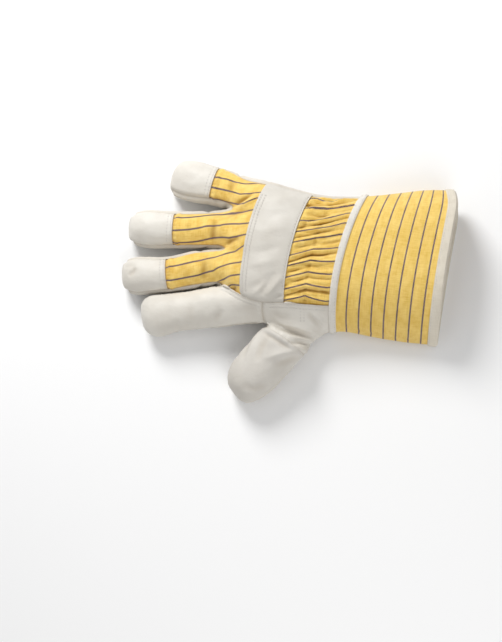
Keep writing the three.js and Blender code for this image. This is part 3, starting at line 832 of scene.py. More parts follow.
    def grow_thumb(self) -> None:
        """Grow the thumb from its opening in the side of the hand."""
        s = self.sizes
        rings = self.rings
        lower = [below_lane(lane) for lane in range(THUMB_LANES_BELOW)]
        points = [rings[row].points[0] for row in range(THUMB_FROM, THUMB_TO + 1)]
        points += [rings[THUMB_TO].points[lane] for lane in (INDEX_SIDE, *lower)]
        underside = below_lane(THUMB_LANES_BELOW)
        points += [rings[row].points[underside] for row in range(THUMB_TO, THUMB_FROM - 1, -1)]
        points += [rings[THUMB_FROM].points[lane] for lane in (*reversed(lower), INDEX_SIDE)]
        ring = Ring(points, [(0.0, 0.0)] * (len(points) + 1))
        middle = self.rows[len(CUFF_SECTIONS) + (THUMB_FROM + THUMB_TO) // 2]
        root_x, root_y = self.across(middle, -1)
        angle = math.radians(s.thumb_angle)
        along = Vector((math.cos(angle), math.sin(angle), 0))
        side = Vector((-along.y, along.x, 0))
        for number, section in enumerate(THUMB_SECTIONS):
            centre = Vector((root_x, root_y, 0)) + along * section.along * s.thumb_length
            centre += side * (section.drift + s.thumb_offset) * s.thumb_width
            across = Matrix.Rotation(math.radians(section.turn), 3, "Z") @ side
            half_width = section.width * s.thumb_width / 2 * s.thumb_spread
            half_height = section.height * s.thumb_height / 2 * s.thumb_spread
            floor = self.digit_floor(section.along)
            places = []
            for degrees in THUMB_ANGLES:
                turned = math.radians(degrees)
                rise = half_height * (s.thumb_flatten + math.sin(turned))
                place = centre + across * math.cos(turned) * half_width
                places.append(Vector((place.x, place.y, max(floor, floor + rise))))
            made = extruded(self.bm, ring.points)
            lanes = range(THUMB_LANE, THUMB_LANE + len(made))
            self.place_ring(made, places, lanes, THUMB_ROW + number)
            following = Ring(made, [(0.0, 0.0)] * (len(made) + 1))
            for lane in range(len(made)):
                is_back = lane < THUMB_INNER_SIDE or lane >= THUMB_OUTER_SIDE
                outer = Panel.SIDE_PANEL if number == 0 else Panel.THUMB_OUTER
                self.mark(ring, following, lane, outer if is_back else Panel.THUMB_INNER)
            ring = following
        rest = s.thumb_length * (1 - THUMB_SECTIONS[-1].along)
        start = THUMB_OUTER_SIDE + 1
        turned_ring = Ring(ring.points[start:] + ring.points[:start], ring.cloth)
        self.close_tip(turned_ring, along * rest, THUMB_BACK_LANES, Panel.THUMB_OUTER, Panel.THUMB_INNER)

    def to_mesh(self) -> Mesh:
        """Turn the cage into a mesh and free it.

        Returns:
            The mesh.
        """
        mesh = bpy.data.meshes.new("cage")
        self.bm.to_mesh(mesh)
        self.bm.free()
        return mesh


def refined(mesh: Mesh, add_modifiers: Callable[[bpy.types.Object], None]) -> Mesh:
    """Apply modifiers to a mesh.

    Args:
        mesh: The mesh, which is removed.
        add_modifiers: Adds the modifiers to the object that holds the mesh.

    Returns:
        A new mesh with the modifiers applied.
    """
    holder = bpy.data.objects.new("holder", mesh)
    bpy.context.scene.collection.objects.link(holder)
    add_modifiers(holder)
    graph = bpy.context.evaluated_depsgraph_get()
    result = bpy.data.meshes.new_from_object(
        holder.evaluated_get(graph), preserve_all_data_layers=True, depsgraph=graph
    )
    bpy.data.objects.remove(holder)
    bpy.data.meshes.remove(mesh)
    return result


def add_subdivision(levels: int) -> Callable[[bpy.types.Object], None]:
    """A function that adds a Subdivision Surface modifier.

    Args:
        levels: Its levels.

    Returns:
        The function, which takes the object.
    """

    def add(holder: bpy.types.Object) -> None:
        """Add the modifier to an object."""
        modifier = holder.modifiers.new("rounding", "SUBSURF")
        modifier.levels = levels
        modifier.render_levels = levels

    return add


# How fast a fold fades at its ends, how sharp a crisp crest is, and how soon it ends on a side face
FOLD_TAPER = 0.7
FOLD_CREST = 1.6
FOLD_FACING = 2.5


@dataclass(frozen=True)
class Fold:
    """A ridge, or a valley where its height is below zero, along a line drawn in plan.

    path is in millimetres from the middle of the glove's box; width is how far it reaches to each
    side, height how far it stands off the skin; is_crisp gives a sharp crest instead of a round
    one, and is_below puts it on the palm side.
    """

    path: tuple[tuple[float, float], ...]
    width: float
    height: float
    is_crisp: bool = False
    is_below: bool = False

    def heights(self, places: np.ndarray, normals: np.ndarray) -> np.ndarray:
        """How far the fold moves each point along its normal.

        Args:
            places: Points in millimetres from the middle of the glove's box.
            normals: Their normals.

        Returns:
            One distance for each point.
        """
        path = np.array(self.path, dtype=float)
        steps = np.diff(path, axis=0)
        lengths = np.hypot(steps[:, 0], steps[:, 1])
        starts = np.concatenate(([0.0], np.cumsum(lengths)))
        best = np.full(len(places), math.inf)
        share = np.zeros(len(places))
        for start, step, length, before in zip(path, steps, lengths, starts):
            offset = places[:, :2] - start
            along = np.clip(offset @ step / length ** 2, 0, 1)
            distance = np.hypot(*(offset - along[:, None] * step).T)
            closer = distance < best
            best = np.where(closer, distance, best)
            share = np.where(closer, (before + along * length) / starts[-1], share)
        taper = np.sin(math.pi * np.clip(share, 0.0, 1.0)) ** FOLD_TAPER
        reach = best / self.width
        crest = np.exp(-FOLD_CREST * reach) * (1 + FOLD_CREST * reach)
        shape = crest if self.is_crisp else bell(best, self.width)
        facing = -normals[:, 2] if self.is_below else normals[:, 2]
        return self.height * shape * taper * np.clip(facing * FOLD_FACING, 0, 1)


@dataclass(frozen=True)
class Push:
    """A part of the skin that stands out: its middle and the way it is moved, in millimetres.

    The move fades out over the reach.
    """

    middle: tuple[float, float, float]
    move: tuple[float, float, float]
    reach: float


PUSHES = (
    # The side of the wrist below the thumb, and the index finger's side and tip
    Push((20, -55, 20), (1.5, -4.6, 0), 13),
    Push((-50, -43, 16), (0, -3.2, 0), 17),
    Push((-106, -47, 14), (-1.6, -2.2, 0), 10),
    # The corner where the thumb's base seam meets its outer edge, drawn in
    Push((12, -67, 12), (-1.5, 3.2, 0), 9),
    # The cuff's far corner
    Push((139, 101, 24), (-2.0, -5.5, -1.0), 15),
)


def pushed(places: np.ndarray, pushes: Iterable[Push]) -> np.ndarray:
    """Places moved by some pushes.

    Args:
        places: The places.
        pushes: The pushes.

    Returns:
        The new places.
    """
    moved = places.copy()
    for push in pushes:
        distance = np.linalg.norm(places - np.array(push.middle), axis=1)
        share = bell(distance, push.reach)
        moved += share[:, None] * np.array(push.move)
    return moved


LEATHER_FOLDS = (
    # Folds that run from the thumb's base seam toward the wrist
    Fold(((-9, -38), (-2, -41), (9, -43), (20, -47), (29, -50)), 1.9, 2.0, is_crisp=True),
    Fold(((-8, -44), (2, -46.5), (13, -49.5), (24, -52)), 2.2, -1.7),
    Fold(((-4, -50), (5, -53), (15, -53.5), (24, -54)), 1.6, 1.8, is_crisp=True),
    Fold(((2, -57), (12, -56.5), (21, -56)), 1.8, -1.6),
    Fold(((-18, -41), (-11, -47), (-2, -54), (6, -59), (13, -62)), 1.8, 1.7, is_crisp=True),
    Fold(((-20, -46), (-12, -52), (-3, -58), (5, -63), (11, -65)), 1.8, -1.7),
    # Folds of the thumb's back, fanning out from its seam
    Fold(((15, -62), (4, -64), (-6, -66), (-18, -70)), 2.2, 1.9, is_crisp=True),
    Fold(((13, -67), (2, -71), (-10, -76)), 3.4, -1.4),
    Fold(((12, -71), (4, -78), (-4, -86)), 3.4, 0.9),
    Fold(((-20, -43), (-27, -54), (-31, -66), (-32, -78)), 2.6, 1.2),
    Fold(((-25, -46), (-31, -56), (-35, -68)), 2.2, -1.0),
    Fold(((-14, -50), (-20, -60), (-23, -72)), 2.8, -1.0),
    Fold(((-36, -90), (-26, -93), (-15, -89)), 2.6, -0.9),
    # Side leather between the cotton and the thumb
    Fold(((21, -33), (27, -38), (33, -44)), 1.5, 1.8, is_crisp=True),
    Fold(((17, -33), (22, -39), (28, -45)), 1.8, -1.1),
    Fold(((-10, -33), (-4, -36), (4, -37)), 2.4, -0.9),
    # Back of the index finger
    Fold(((-60, -37), (-55, -33), (-51, -28)), 2.6, -0.8),
    Fold(((-66, -36), (-61, -31), (-58, -26)), 3.0, 0.6),
    Fold(((-78, -36), (-77, -29), (-76, -22)), 3.4, -0.5),
    Fold(((-96, -38), (-95, -30), (-94, -24)), 3.4, -0.5),
    Fold(((-40, -33), (-32, -30), (-22, -29)), 4.0, -0.7),
    # Caps of the middle, ring and little fingers
    Fold(((-131, 3), (-127, 6), (-125, 10)), 2.0, -1.3),
    Fold(((-136, 12), (-130, 12), (-124, 11)), 2.4, -0.5),
    Fold(((-128, 36), (-118, 37), (-110, 36)), 4.0, -0.5),
    Fold(((-86, 86), (-78, 83), (-70, 84)), 3.5, -0.5),
)

PALM_FOLDS = (
    Fold(((-70, -34), (-70, -26), (-69, -18)), 2.4, -1.1, is_below=True),
    Fold(((-90, -36), (-90, -28), (-89, -20)), 2.4, -1.0, is_below=True),
    Fold(((-82, -6), (-81, 4), (-81, 14)), 2.6, -1.1, is_below=True),
    Fold(((-104, -6), (-103, 4), (-103, 16)), 2.4, -1.0, is_below=True),
    Fold(((-80, 32), (-80, 41), (-79, 50)), 2.6, -1.1, is_below=True),
    Fold(((-100, 34), (-100, 42), (-99, 50)), 2.4, -1.0, is_below=True),
    Fold(((-52, 64), (-56, 72), (-55, 80)), 2.4, -1.0, is_below=True),
    Fold(((-66, 70), (-70, 80), (-68, 88)), 2.4, -1.0, is_below=True),
    Fold(((30, -40), (12, -30), (0, -24)), 4.0, -1.2, is_below=True),
    Fold(((-10, -60), (-18, -66), (-28, -70)), 3.0, -1.0, is_below=True),
)

COTTON_FOLDS = (
    # Cloth drawn in at the crotches of the fingers
    Fold(((-46, 52), (-37, 55), (-27, 60), (-18, 65)), 2.2, 1.7, is_crisp=True),
    Fold(((-44, 57), (-35, 60), (-26, 65)), 2.0, -1.9),
    Fold(((-48, 48), (-38, 50), (-28, 53)), 2.4, -0.9),
    Fold(((-52, 18), (-45, 20), (-37, 23)), 2.4, 1.4, is_crisp=True),
    Fold(((-50, 24), (-44, 26), (-36, 28)), 2.0, -1.5),
    Fold(((-54, -14), (-47, -9), (-40, -4)), 2.6, 1.3, is_crisp=True),
    Fold(((-50, -19), (-44, -14), (-38, -10)), 2.2, -1.3),
    # Folds across the fingers' backs
    Fold(((-68, -4), (-67, 4), (-66, 12)), 2.8, -0.9),
    Fold(((-74, -3), (-73, 5), (-72, 12)), 2.8, 0.6),
    Fold(((-58, -6), (-56, 2), (-54, 10)), 3.0, 0.9),
    Fold(((-66, 30), (-65, 38), (-64, 46)), 2.8, 0.7),
    Fold(((-60, 28), (-59, 37), (-57, 46)), 2.6, -0.9),
    Fold(((-80, 32), (-80, 40), (-79, 47)), 2.8, -0.6),
    Fold(((-46, 66), (-45, 73), (-43, 80)), 2.8, -0.8),
    Fold(((-52, 68), (-51, 75), (-49, 82)), 2.8, 0.6),
)

# Large folds of the gathered back, by the strap's far corner
GATHER_FOLDS = (
    Fold(((8, 31), (14, 41), (24, 50), (38, 53)), 2.0, 1.6, is_crisp=True),
    Fold(((11, 30), (19, 38), (29, 42), (38, 44)), 1.7, -1.5),
    Fold(((16, 50), (23, 55), (33, 57), (45, 57)), 1.6, -1.5),
    Fold(((19, 56), (28, 60), (40, 61)), 1.6, 1.1, is_crisp=True),
    Fold(((6, 15), (13, 21), (20, 24)), 1.5, 0.9, is_crisp=True),
    Fold(((27, -17), (32, -18), (37, -20)), 1.6, -0.9),
)

STRAP_FOLDS = (
    Fold(((-14, -20), (-7, -13), (-1, -5)), 1.9, 1.5, is_crisp=True),
    Fold(((-18, -19), (-12, -11), (-6, -3)), 2.4, -1.1),
    Fold(((-9, -23), (-5, -21), (-1, -20)), 1.6, -1.6),
    Fold(((-30, -14), (-18, -11), (-6, -1)), 2.8, -0.8),
    Fold(((-25, -19), (-19, -14), (-14, -8)), 2.0, 0.7),
    Fold(((-28, 4), (-17, 5), (-2, 8)), 3.4, 0.8),
    Fold(((-27, 14), (-15, 15), (-1, 18)), 3.4, -0.8),
    Fold(((-22, 30), (-12, 32), (4, 34)), 4.0, 0.7),
    Fold(((-20, 42), (-8, 44), (8, 46)), 4.0, -0.7),
    Fold(((-16, 56), (-5, 57), (10, 60)), 4.0, 0.7),
)

PATCH_FOLDS = (
    Fold(((24, -26), (4, -12), (-18, -2)), 5.0, -1.0, is_below=True),
    Fold(((28, 2), (6, 14), (-16, 22)), 5.5, -0.9, is_below=True),
    Fold(((20, 30), (0, 36), (-22, 44)), 5.0, -0.8, is_below=True),
    Fold(((-30, -20), (-36, 4), (-36, 30)), 4.0, -0.7, is_below=True),
)


def fold_heights(places: np.ndarray, normals: np.ndarray, folds: Iterable[Fold]) -> np.ndarray:
    """How far a set of folds moves each point along its normal."""
    return sum((fold.heights(places, normals) for fold in folds), np.zeros(len(places)))


@dataclass(frozen=True)
class Unevenness:
    """Soft unevenness of a surface: its height and its size in millimetres, and its seed."""

    height: float
    size: float
    seed: float

    def over(self, places: np.ndarray) -> np.ndarray:
        """Heights at some places."""
        shift = Vector((self.seed * 7.3, self.seed * 3.1, self.seed * 5.7))
        return self.height * np.array([noise.noise(Vector(place) / self.size + shift) for place in places])


def vectors_of(mesh: Mesh) -> tuple[np.ndarray, np.ndarray]:
    """Places and normals of a mesh's points.

    Args:
        mesh: The mesh.

    Returns:
        Two arrays of rows.
    """
    count = len(mesh.vertices)
    places = np.zeros(count * 3)
    mesh.vertices.foreach_get("co", places)
    normals = np.zeros(count * 3)
    mesh.vertex_normals.foreach_get("vector", normals)
    return places.reshape(-1, 3), normals.reshape(-1, 3)


def values_of(mesh: Mesh, name: str, kind: type = float) -> np.ndarray:
    """Values of a mesh's attribute.

    Args:
        mesh: The mesh.
        name: The attribute's name.
        kind: The type of its values.

    Returns:
        One value for each point or face.
    """
    data = mesh.attributes[name].data
    values = np.zeros(len(data), dtype=kind)
    data.foreach_get("value", values)
    return values


def set_places(mesh: Mesh, places: np.ndarray) -> None:
    """Move a mesh's points to the given places."""
    mesh.vertices.foreach_set("co", np.ascontiguousarray(places, dtype=np.float32).ravel())
    mesh.update()


@dataclass
class Seam:
    """Points of the lines between panels, with the distance along each line, ready for look-up."""

    chains: list[list[int]]
    tree: KDTree
    travelled: list[float]

    def measure(self, places: np.ndarray, reach: float) -> tuple[np.ndarray, np.ndarray]:
        """Distance to the nearest seam point and how far along the seam it lies.

        Args:
            places: The points.
            reach: Distance past which a point isn't measured.

        Returns:
            Distances, reach where farther, and the travelled lengths.
        """
        distances = np.full(len(places), reach)
        travelled = np.zeros(len(places))
        for index, place in enumerate(places):
            found = self.tree.find(Vector(place))
            if found[2] < reach:
                distances[index] = found[2]
                travelled[index] = self.travelled[found[1]]
        return distances, travelled


def chained(edges: Iterable[tuple[int, int]]) -> list[list[int]]:
    """Join edges into chains; a closed chain repeats its first point at its end.

    Args:
        edges: Pairs of point numbers.

    Returns:
        The chains.
    """
    neighbours: dict[int, list[int]] = {}
    for first, second in edges:
        neighbours.setdefault(first, []).append(second)
        neighbours.setdefault(second, []).append(first)
    left = {frozenset((first, second)) for first, found in neighbours.items() for second in found}
    ends = sorted(point for point, found in neighbours.items() if len(found) != 2)
    chains = []
    for start in [*ends, *sorted(neighbours)]:
        for following in neighbours[start]:
            if frozenset((start, following)) not in left:
                continue
            chain = [start]
            point, after = start, following
            while after is not None:
                left.discard(frozenset((point, after)))
                chain.append(after)
                onward = [
                    other for other in neighbours[after]
                    if frozenset((after, other)) in left and len(neighbours[after]) == 2
                ]
                point, after = after, onward[0] if onward else None
            chains.append(chain)
    return chains


CAPS = (Panel.MIDDLE_TIP, Panel.RING_TIP, Panel.LITTLE_TIP)

# Panels that are lapped over another, which lies below
OVER_COTTON = tuple((panel, Panel.BACK_COTTON) for panel in (Panel.SIDE_PANEL, Panel.INDEX_BACK, *CAPS))
OVER_SIDE = (Panel.INDEX_BACK, Panel.SIDE_PANEL)
LAPPED = (*OVER_COTTON, OVER_SIDE)
SEWN_DOWN = tuple(panel for panel, _ in OVER_COTTON)

# Unevenness of the skin, broad to fine, of the sewn-on covers and of the gathers
SKIN_SOFT = (Unevenness(0.55, 21.0, 1), Unevenness(0.28, 9.0, 2))
SKIN_FINE = Unevenness(0.10, 4.2, 3)
COVER_SOFT = (Unevenness(0.35, 19.0, 6), Unevenness(0.15, 7.0, 7))
GATHER_UNEVEN = Unevenness(1.0, 13.0, 11)


@dataclass
class Skin:
    """The smoothed and modelled skin of the glove, in millimetres from the middle of its box.

    A turned seam is a valley with a lip on each side and puckers along it. gather fields shape the
    cotton that the elastic draws in, and two fields tell how deep a place must lie to get painted
    shade, a darker colour that stands in for the shade in folds and seams.
    """

    cage: Cage
    levels: int = 4
    root_seam: float = 0.55
    seam_reach: float = 12.0
    seam_depth: float = 1.0
    seam_width: float = 1.8
    lip_height: float = 0.28
    lip_place: float = 4.0
    lip_width: float = 2.2
    pucker_height: float = 0.09
    pucker_place: float = 2.2
    pucker_width: float = 2.6
    cuff_softness: float = 0.35
    strap_bed: float = 0.1
    # Painted shade: how far a place must sink to get its full painted shade, and a share taken off so that
    # shallow places get none
    painted_shade_depth: float = 1.15
    painted_shade_start: float = 0.06
    lowest: float = 0.15
    stripe_margin: float = 1.5
    gather_start: float = 3.0
    gather_end: float = 4.5
    gather_height: float = 2.0
    gather_growth: float = 0.8
    gather_fall: float = 1.6
    crease_height: float = 0.85
    ripple_height: float = 0.26
    bunch_width: float = 5.5
    elastic_depth: float = 0.55
    elastic_width: float = 1.2

    def __post_init__(self) -> None:
        """Smooth the cage and model the skin."""
        self.mesh = refined(self.cage.to_mesh(), add_subdivision(self.levels))
        self.mesh.transform(Matrix.Translation(ORIGIN))
        self.corners = np.array([polygon.vertices[:] for polygon in self.mesh.polygons])
        self.panels = values_of(self.mesh, "panel", int)
        self.covers = values_of(self.mesh, "cover", int)
        self.lanes = values_of(self.mesh, "lane")
        self.rows = values_of(self.mesh, "row")
        set_places(self.mesh, pushed(vectors_of(self.mesh)[0], PUSHES))
        self.smooth_places, self.normals = vectors_of(self.mesh)
        self.split_palm()
        self.lines = self.find_lines()
        self.cloth, self.stripes = self.laid_cloth()
        self.places = self.modelled()

    def split_palm(self) -> None:
        """Part the fronts of the fingers from the palm, along a seam at their roots."""
        is_finger = self.rows[self.corners].mean(axis=1) > FINGER_ROW + self.root_seam
        is_palm = self.panels == Panel.PALM_LEATHER.value
        self.panels = np.where(is_palm & is_finger, Panel.FINGER_FRONTS.value, self.panels)

    def find_lines(self) -> dict[frozenset[Panel], list[list[int]]]:
        """Find the lines between panels.

        Returns:
            For each pair of panels that meet, the chains of points between them.
        """
        edges: dict[frozenset[Panel], list[tuple[int, int]]] = {}
        seen: dict[tuple[int, int], int] = {}
        for polygon in self.mesh.polygons:
            panel = int(self.panels[polygon.index])
            for key in polygon.edge_keys:
                other = seen.setdefault(key, panel)
                if other != panel:
                    pair = frozenset((Panel(other), Panel(panel)))
                    edges.setdefault(pair, []).append(key)
        return {pair: chained(keys) for pair, keys in edges.items()}

    def seam(self, pairs: Iterable[Iterable[Panel]]) -> Seam:
        """Gather the lines of some pairs of panels.

        Args:
            pairs: The pairs.

        Returns:
            The seam, ready for look-up.
        """
        chains = [chain for pair in pairs for chain in self.lines.get(frozenset(pair), [])]
        tree = KDTree(sum(len(chain) for chain in chains))
        travelled = []
        for chain in chains:
            length = 0.0
            for index, point in enumerate(chain):
                place = Vector(self.smooth_places[point])
                if index > 0:
                    length += (place - Vector(self.smooth_places[chain[index - 1]])).length
                tree.insert(place, len(travelled))
                travelled.append(length)
        tree.balance()
        return Seam(chains, tree, travelled)

    def points_of(self, labels: np.ndarray, value: int) -> np.ndarray:
        """Which points belong to the faces with a label."""
        inside = np.zeros(len(self.smooth_places), dtype=bool)
        inside[self.corners[labels == value]] = True
        return inside

    def modelled(self) -> np.ndarray:
        """Model the seams, folds, gathers and the soft unevenness of the skin.

        Returns:
            The new places of the points.
        """
        places, normals = self.smooth_places, self.normals
        lapped = {frozenset(pair) for pair in LAPPED}
        turned = [pair for pair in self.lines if pair not in lapped and Panel.CUFF not in pair]
        seam = self.seam(sorted(turned, key=lambda pair: sorted(panel.value for panel in pair)))
        distance, travelled = seam.measure(places, self.seam_reach)
        valley = -self.seam_depth * bell(distance, self.seam_width)
        lip = self.lip_height * bell(distance, self.lip_width, self.lip_place)
        wave = np.sin(travelled * 1.45 + 2.2 * np.sin(travelled * 0.31))
        wave += 0.6 * np.sin(travelled * 2.6 + 1.5 * np.sin(travelled * 0.53))
        fade = bell(distance, self.pucker_width, self.pucker_place) * (distance < self.seam_reach)
        pucker = self.pucker_height * wave * fade

        cuff = self.points_of(self.panels, Panel.CUFF.value)
        cotton = self.points_of(self.panels, Panel.BACK_COTTON.value)
        soft = sum(uneven.over(places) for uneven in SKIN_SOFT) * np.where(cuff, self.cuff_softness, 1.0)
        fine = SKIN_FINE.over(places) * ~cuff
        folds = fold_heights(places, normals, (*LEATHER_FOLDS, *PALM_FOLDS))
        total = valley + lip + pucker + soft + fine + np.where(cuff | cotton, 0, folds)

        back = np.clip(normals[:, 2] * 2, 0, 1) * cotton
        total += back * fold_heights(places, normals, (*COTTON_FOLDS, *GATHER_FOLDS))
        total += back * self.gathers()
        strapped = self.points_of(self.covers, Cover.KNUCKLE_STRAP.value)
        total = np.where(strapped, np.minimum(total, self.strap_bed), total)
        # Painted shade: the deeper a place sinks into a fold or seam, the darker the materials paint it
        self.painted_shading = np.clip(-total / self.painted_shade_depth - self.painted_shade_start, 0, 1)
        moved = places + normals * total[:, None]
        moved[:, 2] = np.maximum(moved[:, 2], self.lowest + FLOOR_GAP * np.minimum(places[:, 2], 1.0))
        return moved

    def laid_cloth(self) -> tuple[np.ndarray, np.ndarray]:
        """Lay the striped cloth on the back, so that its stripes run as they are drawn.

        Close to a stripe the cloth keeps its own scale, so that every stripe is as wide.

        Returns:
            The cloth place of each point of the cotton, and its stripe number.
        """
        layer = self.mesh.uv_layers["cloth"].data
        flat = np.zeros(len(layer) * 2)
        layer.foreach_get("uv", flat)
        flat = flat.reshape(-1, 2)
        points = np.zeros(len(layer), dtype=int)
        self.mesh.loops.foreach_get("vertex_index", points)
        is_cotton = np.repeat(self.panels == Panel.BACK_COTTON.value, 4)
        cloth = np.zeros((len(self.smooth_places), 2))
        cloth[points[is_cotton]] = flat[is_cotton]
        across, along = cloth.T
        lines = [np.interp(along, STRIPE_STATIONS, line) for line in STRIPE_LINES]
        stripes = np.minimum(0, across - lines[0]) / STRIPE_PITCH
        stripes += np.maximum(0, across - lines[-1]) / STRIPE_PITCH
        margin = self.stripe_margin
        for low, high in zip(lines, lines[1:]):
            past, span = across - low, high - low
            squeeze = (STRIPE_PITCH - 2 * margin) / (span - 2 * margin)
            laid = np.clip(past, 0, margin) + np.clip(past - span + margin, 0, margin)
            laid += np.clip(past - margin, 0, span - 2 * margin) * squeeze
            stripes += laid / STRIPE_PITCH
        flat[is_cotton, 0] = stripes[points[is_cotton]] * STRIPE_PITCH
        layer.foreach_set("uv", flat.ravel())
        return cloth, stripes

    def gathers(self) -> np.ndarray:
        """Folds of the gathered cotton, drawn in by the elastic between the strap and the wrist.

        Returns:
            How far each point of the skin is moved along its normal.
        """
        along, stripes = self.cloth[:, 1], self.stripes
        before = np.clip((along - STRAP_STATION) / (ELASTIC_STATION - STRAP_STATION), 0, 1)
        after = np.clip((along - ELASTIC_STATION) / -ELASTIC_STATION, 0, 1)
        uneven = GATHER_UNEVEN.over(self.smooth_places)
        creases = stripes - 0.36 - 0.17 * before - 0.05 * after + 0.07 * uneven
        depth = 1 + 0.45 * np.sin(np.round(creases) * 2.4 + 1) + 0.35 * uneven
        pillow = np.abs(np.sin(math.pi * creases)) ** 0.75 - 0.55
        size = (self.gather_height + self.gather_growth * before - self.gather_fall * after) * depth
        small = np.abs(np.sin(math.pi * (stripes * 2.37 + 0.7 * before - 0.5 * after + 0.3 * uneven)))
        ripple = np.cos(2 * math.pi * (stripes * 3.3 + 0.4 * np.sin(stripes * 1.9)))
        height = size * pillow + self.crease_height * (small ** 0.8 - 0.6)
        height += self.ripple_height * ripple * bell(along, self.bunch_width, ELASTIC_STATION)
        height -= self.elastic_depth * bell(along, self.elastic_width, ELASTIC_STATION)
        begun = np.clip((along - STRAP_STATION + self.gather_start) / (2 * self.gather_start), 0, 1)
        ended = np.clip(-along / self.gather_end, 0, 1)
        return np.where(along > STRAP_STATION - self.gather_start, height * (begun * ended), 0)


@dataclass(frozen=True)
class SheetLook:
    """How a panel is finished: its thickness and the rounding of its edges, in millimetres."""

    thickness: float
    rounding: float


def add_thickness(look: SheetLook) -> Callable[[bpy.types.Object], None]:
    """A function that gives a sheet its thickness, inward, and rounds its edges.

    Args:
        look: The sheet's thickness and rounding.

    Returns:
        The function, which takes the object.
    """

    def add(holder: bpy.types.Object) -> None:
        """Add the modifiers to an object."""
        wall = holder.modifiers.new("wall", "SOLIDIFY")
        wall.thickness = look.thickness
        wall.offset = -1.0
        wall.use_even_offset = False
        wall.use_rim = True
        edge = holder.modifiers.new("edge", "BEVEL")
        edge.width = look.rounding
        edge.segments = 2
        edge.limit_method = "ANGLE"
        edge.angle_limit = math.radians(55)
        edge.profile = 0.5

    return add


@dataclass(frozen=True)
class Piece:
    """A finished piece: its name, the frame's nodes that it stands for, its slot and material."""

    name: str
    nodes: tuple[str, ...]
    slot: str
    material: bpy.types.Material

    def finish(self, mesh: Mesh) -> bpy.types.Object:
        """Make the piece from its mesh.

        Args:
            mesh: The mesh in millimetres, which is scaled to metres.

        Returns:
            The object, linked to the scene, shaded smooth but for its sharp edges.
        """
        mesh.transform(Matrix.Scale(MM, 4))
        mesh.name = self.name
        mesh.materials.clear()
        mesh.materials.append(self.material)
        mesh.shade_smooth()
        mesh.set_sharp_from_angle(angle=math.radians(SHARP_ANGLE))
        for attribute in ("panel", "cover", "lane", "row"):
            if attribute in mesh.attributes:
                mesh.attributes.remove(mesh.attributes[attribute])
        made = bpy.data.objects.new(self.name, mesh)
        bpy.context.scene.collection.objects.link(made)
        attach(made, BODY)
        if self.nodes:
            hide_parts(*self.nodes)
        log.info("piece %s: %d faces", self.name, len(mesh.polygons))
        return made


def mesh_of(bm: BMesh, name: str) -> Mesh:
    """Turn a bmesh into a mesh and free it.

    Args:
        bm: The bmesh.
        name: The mesh's name.

    Returns:
        The mesh.
    """
    mesh = bpy.data.meshes.new(name)
    bm.to_mesh(mesh)
    bm.free()
    return mesh


def tree_of(mesh: Mesh, places: np.ndarray | None = None) -> BVHTree:
    """A look-up tree of a mesh's surface.

    Args:
        mesh: The mesh.
        places: Other places for its points, if any.

    Returns:
        The tree.
    """
    bm = bmesh.new()
    bm.from_mesh(mesh)
    if places is not None:
        for vert, place in zip(bm.verts, places):
            vert.co = place
    tree = BVHTree.FromBMesh(bm)
    bm.free()
    return tree


def keep_above_floor(mesh: Mesh) -> None:
    """Flatten what reaches below the floor."""
    places, _ = vectors_of(mesh)
    places[:, 2] = np.maximum(places[:, 2], FLOOR_GAP)
    set_places(mesh, places)


# Rows of stitches beside a lapped edge, the steps of the tapes, and the fewest points of a line
SEAM_ROWS = (1.6, 4.4)
TAPE_STEP = 1.6
SHORTEST_LINE = 4


@dataclass(frozen=True)
class FlatCloth:
    """The flat cut of a piece of cloth, in metres and square metres, and how the glove holds it."""

    width: float
    length: float
    area: float
    held: str


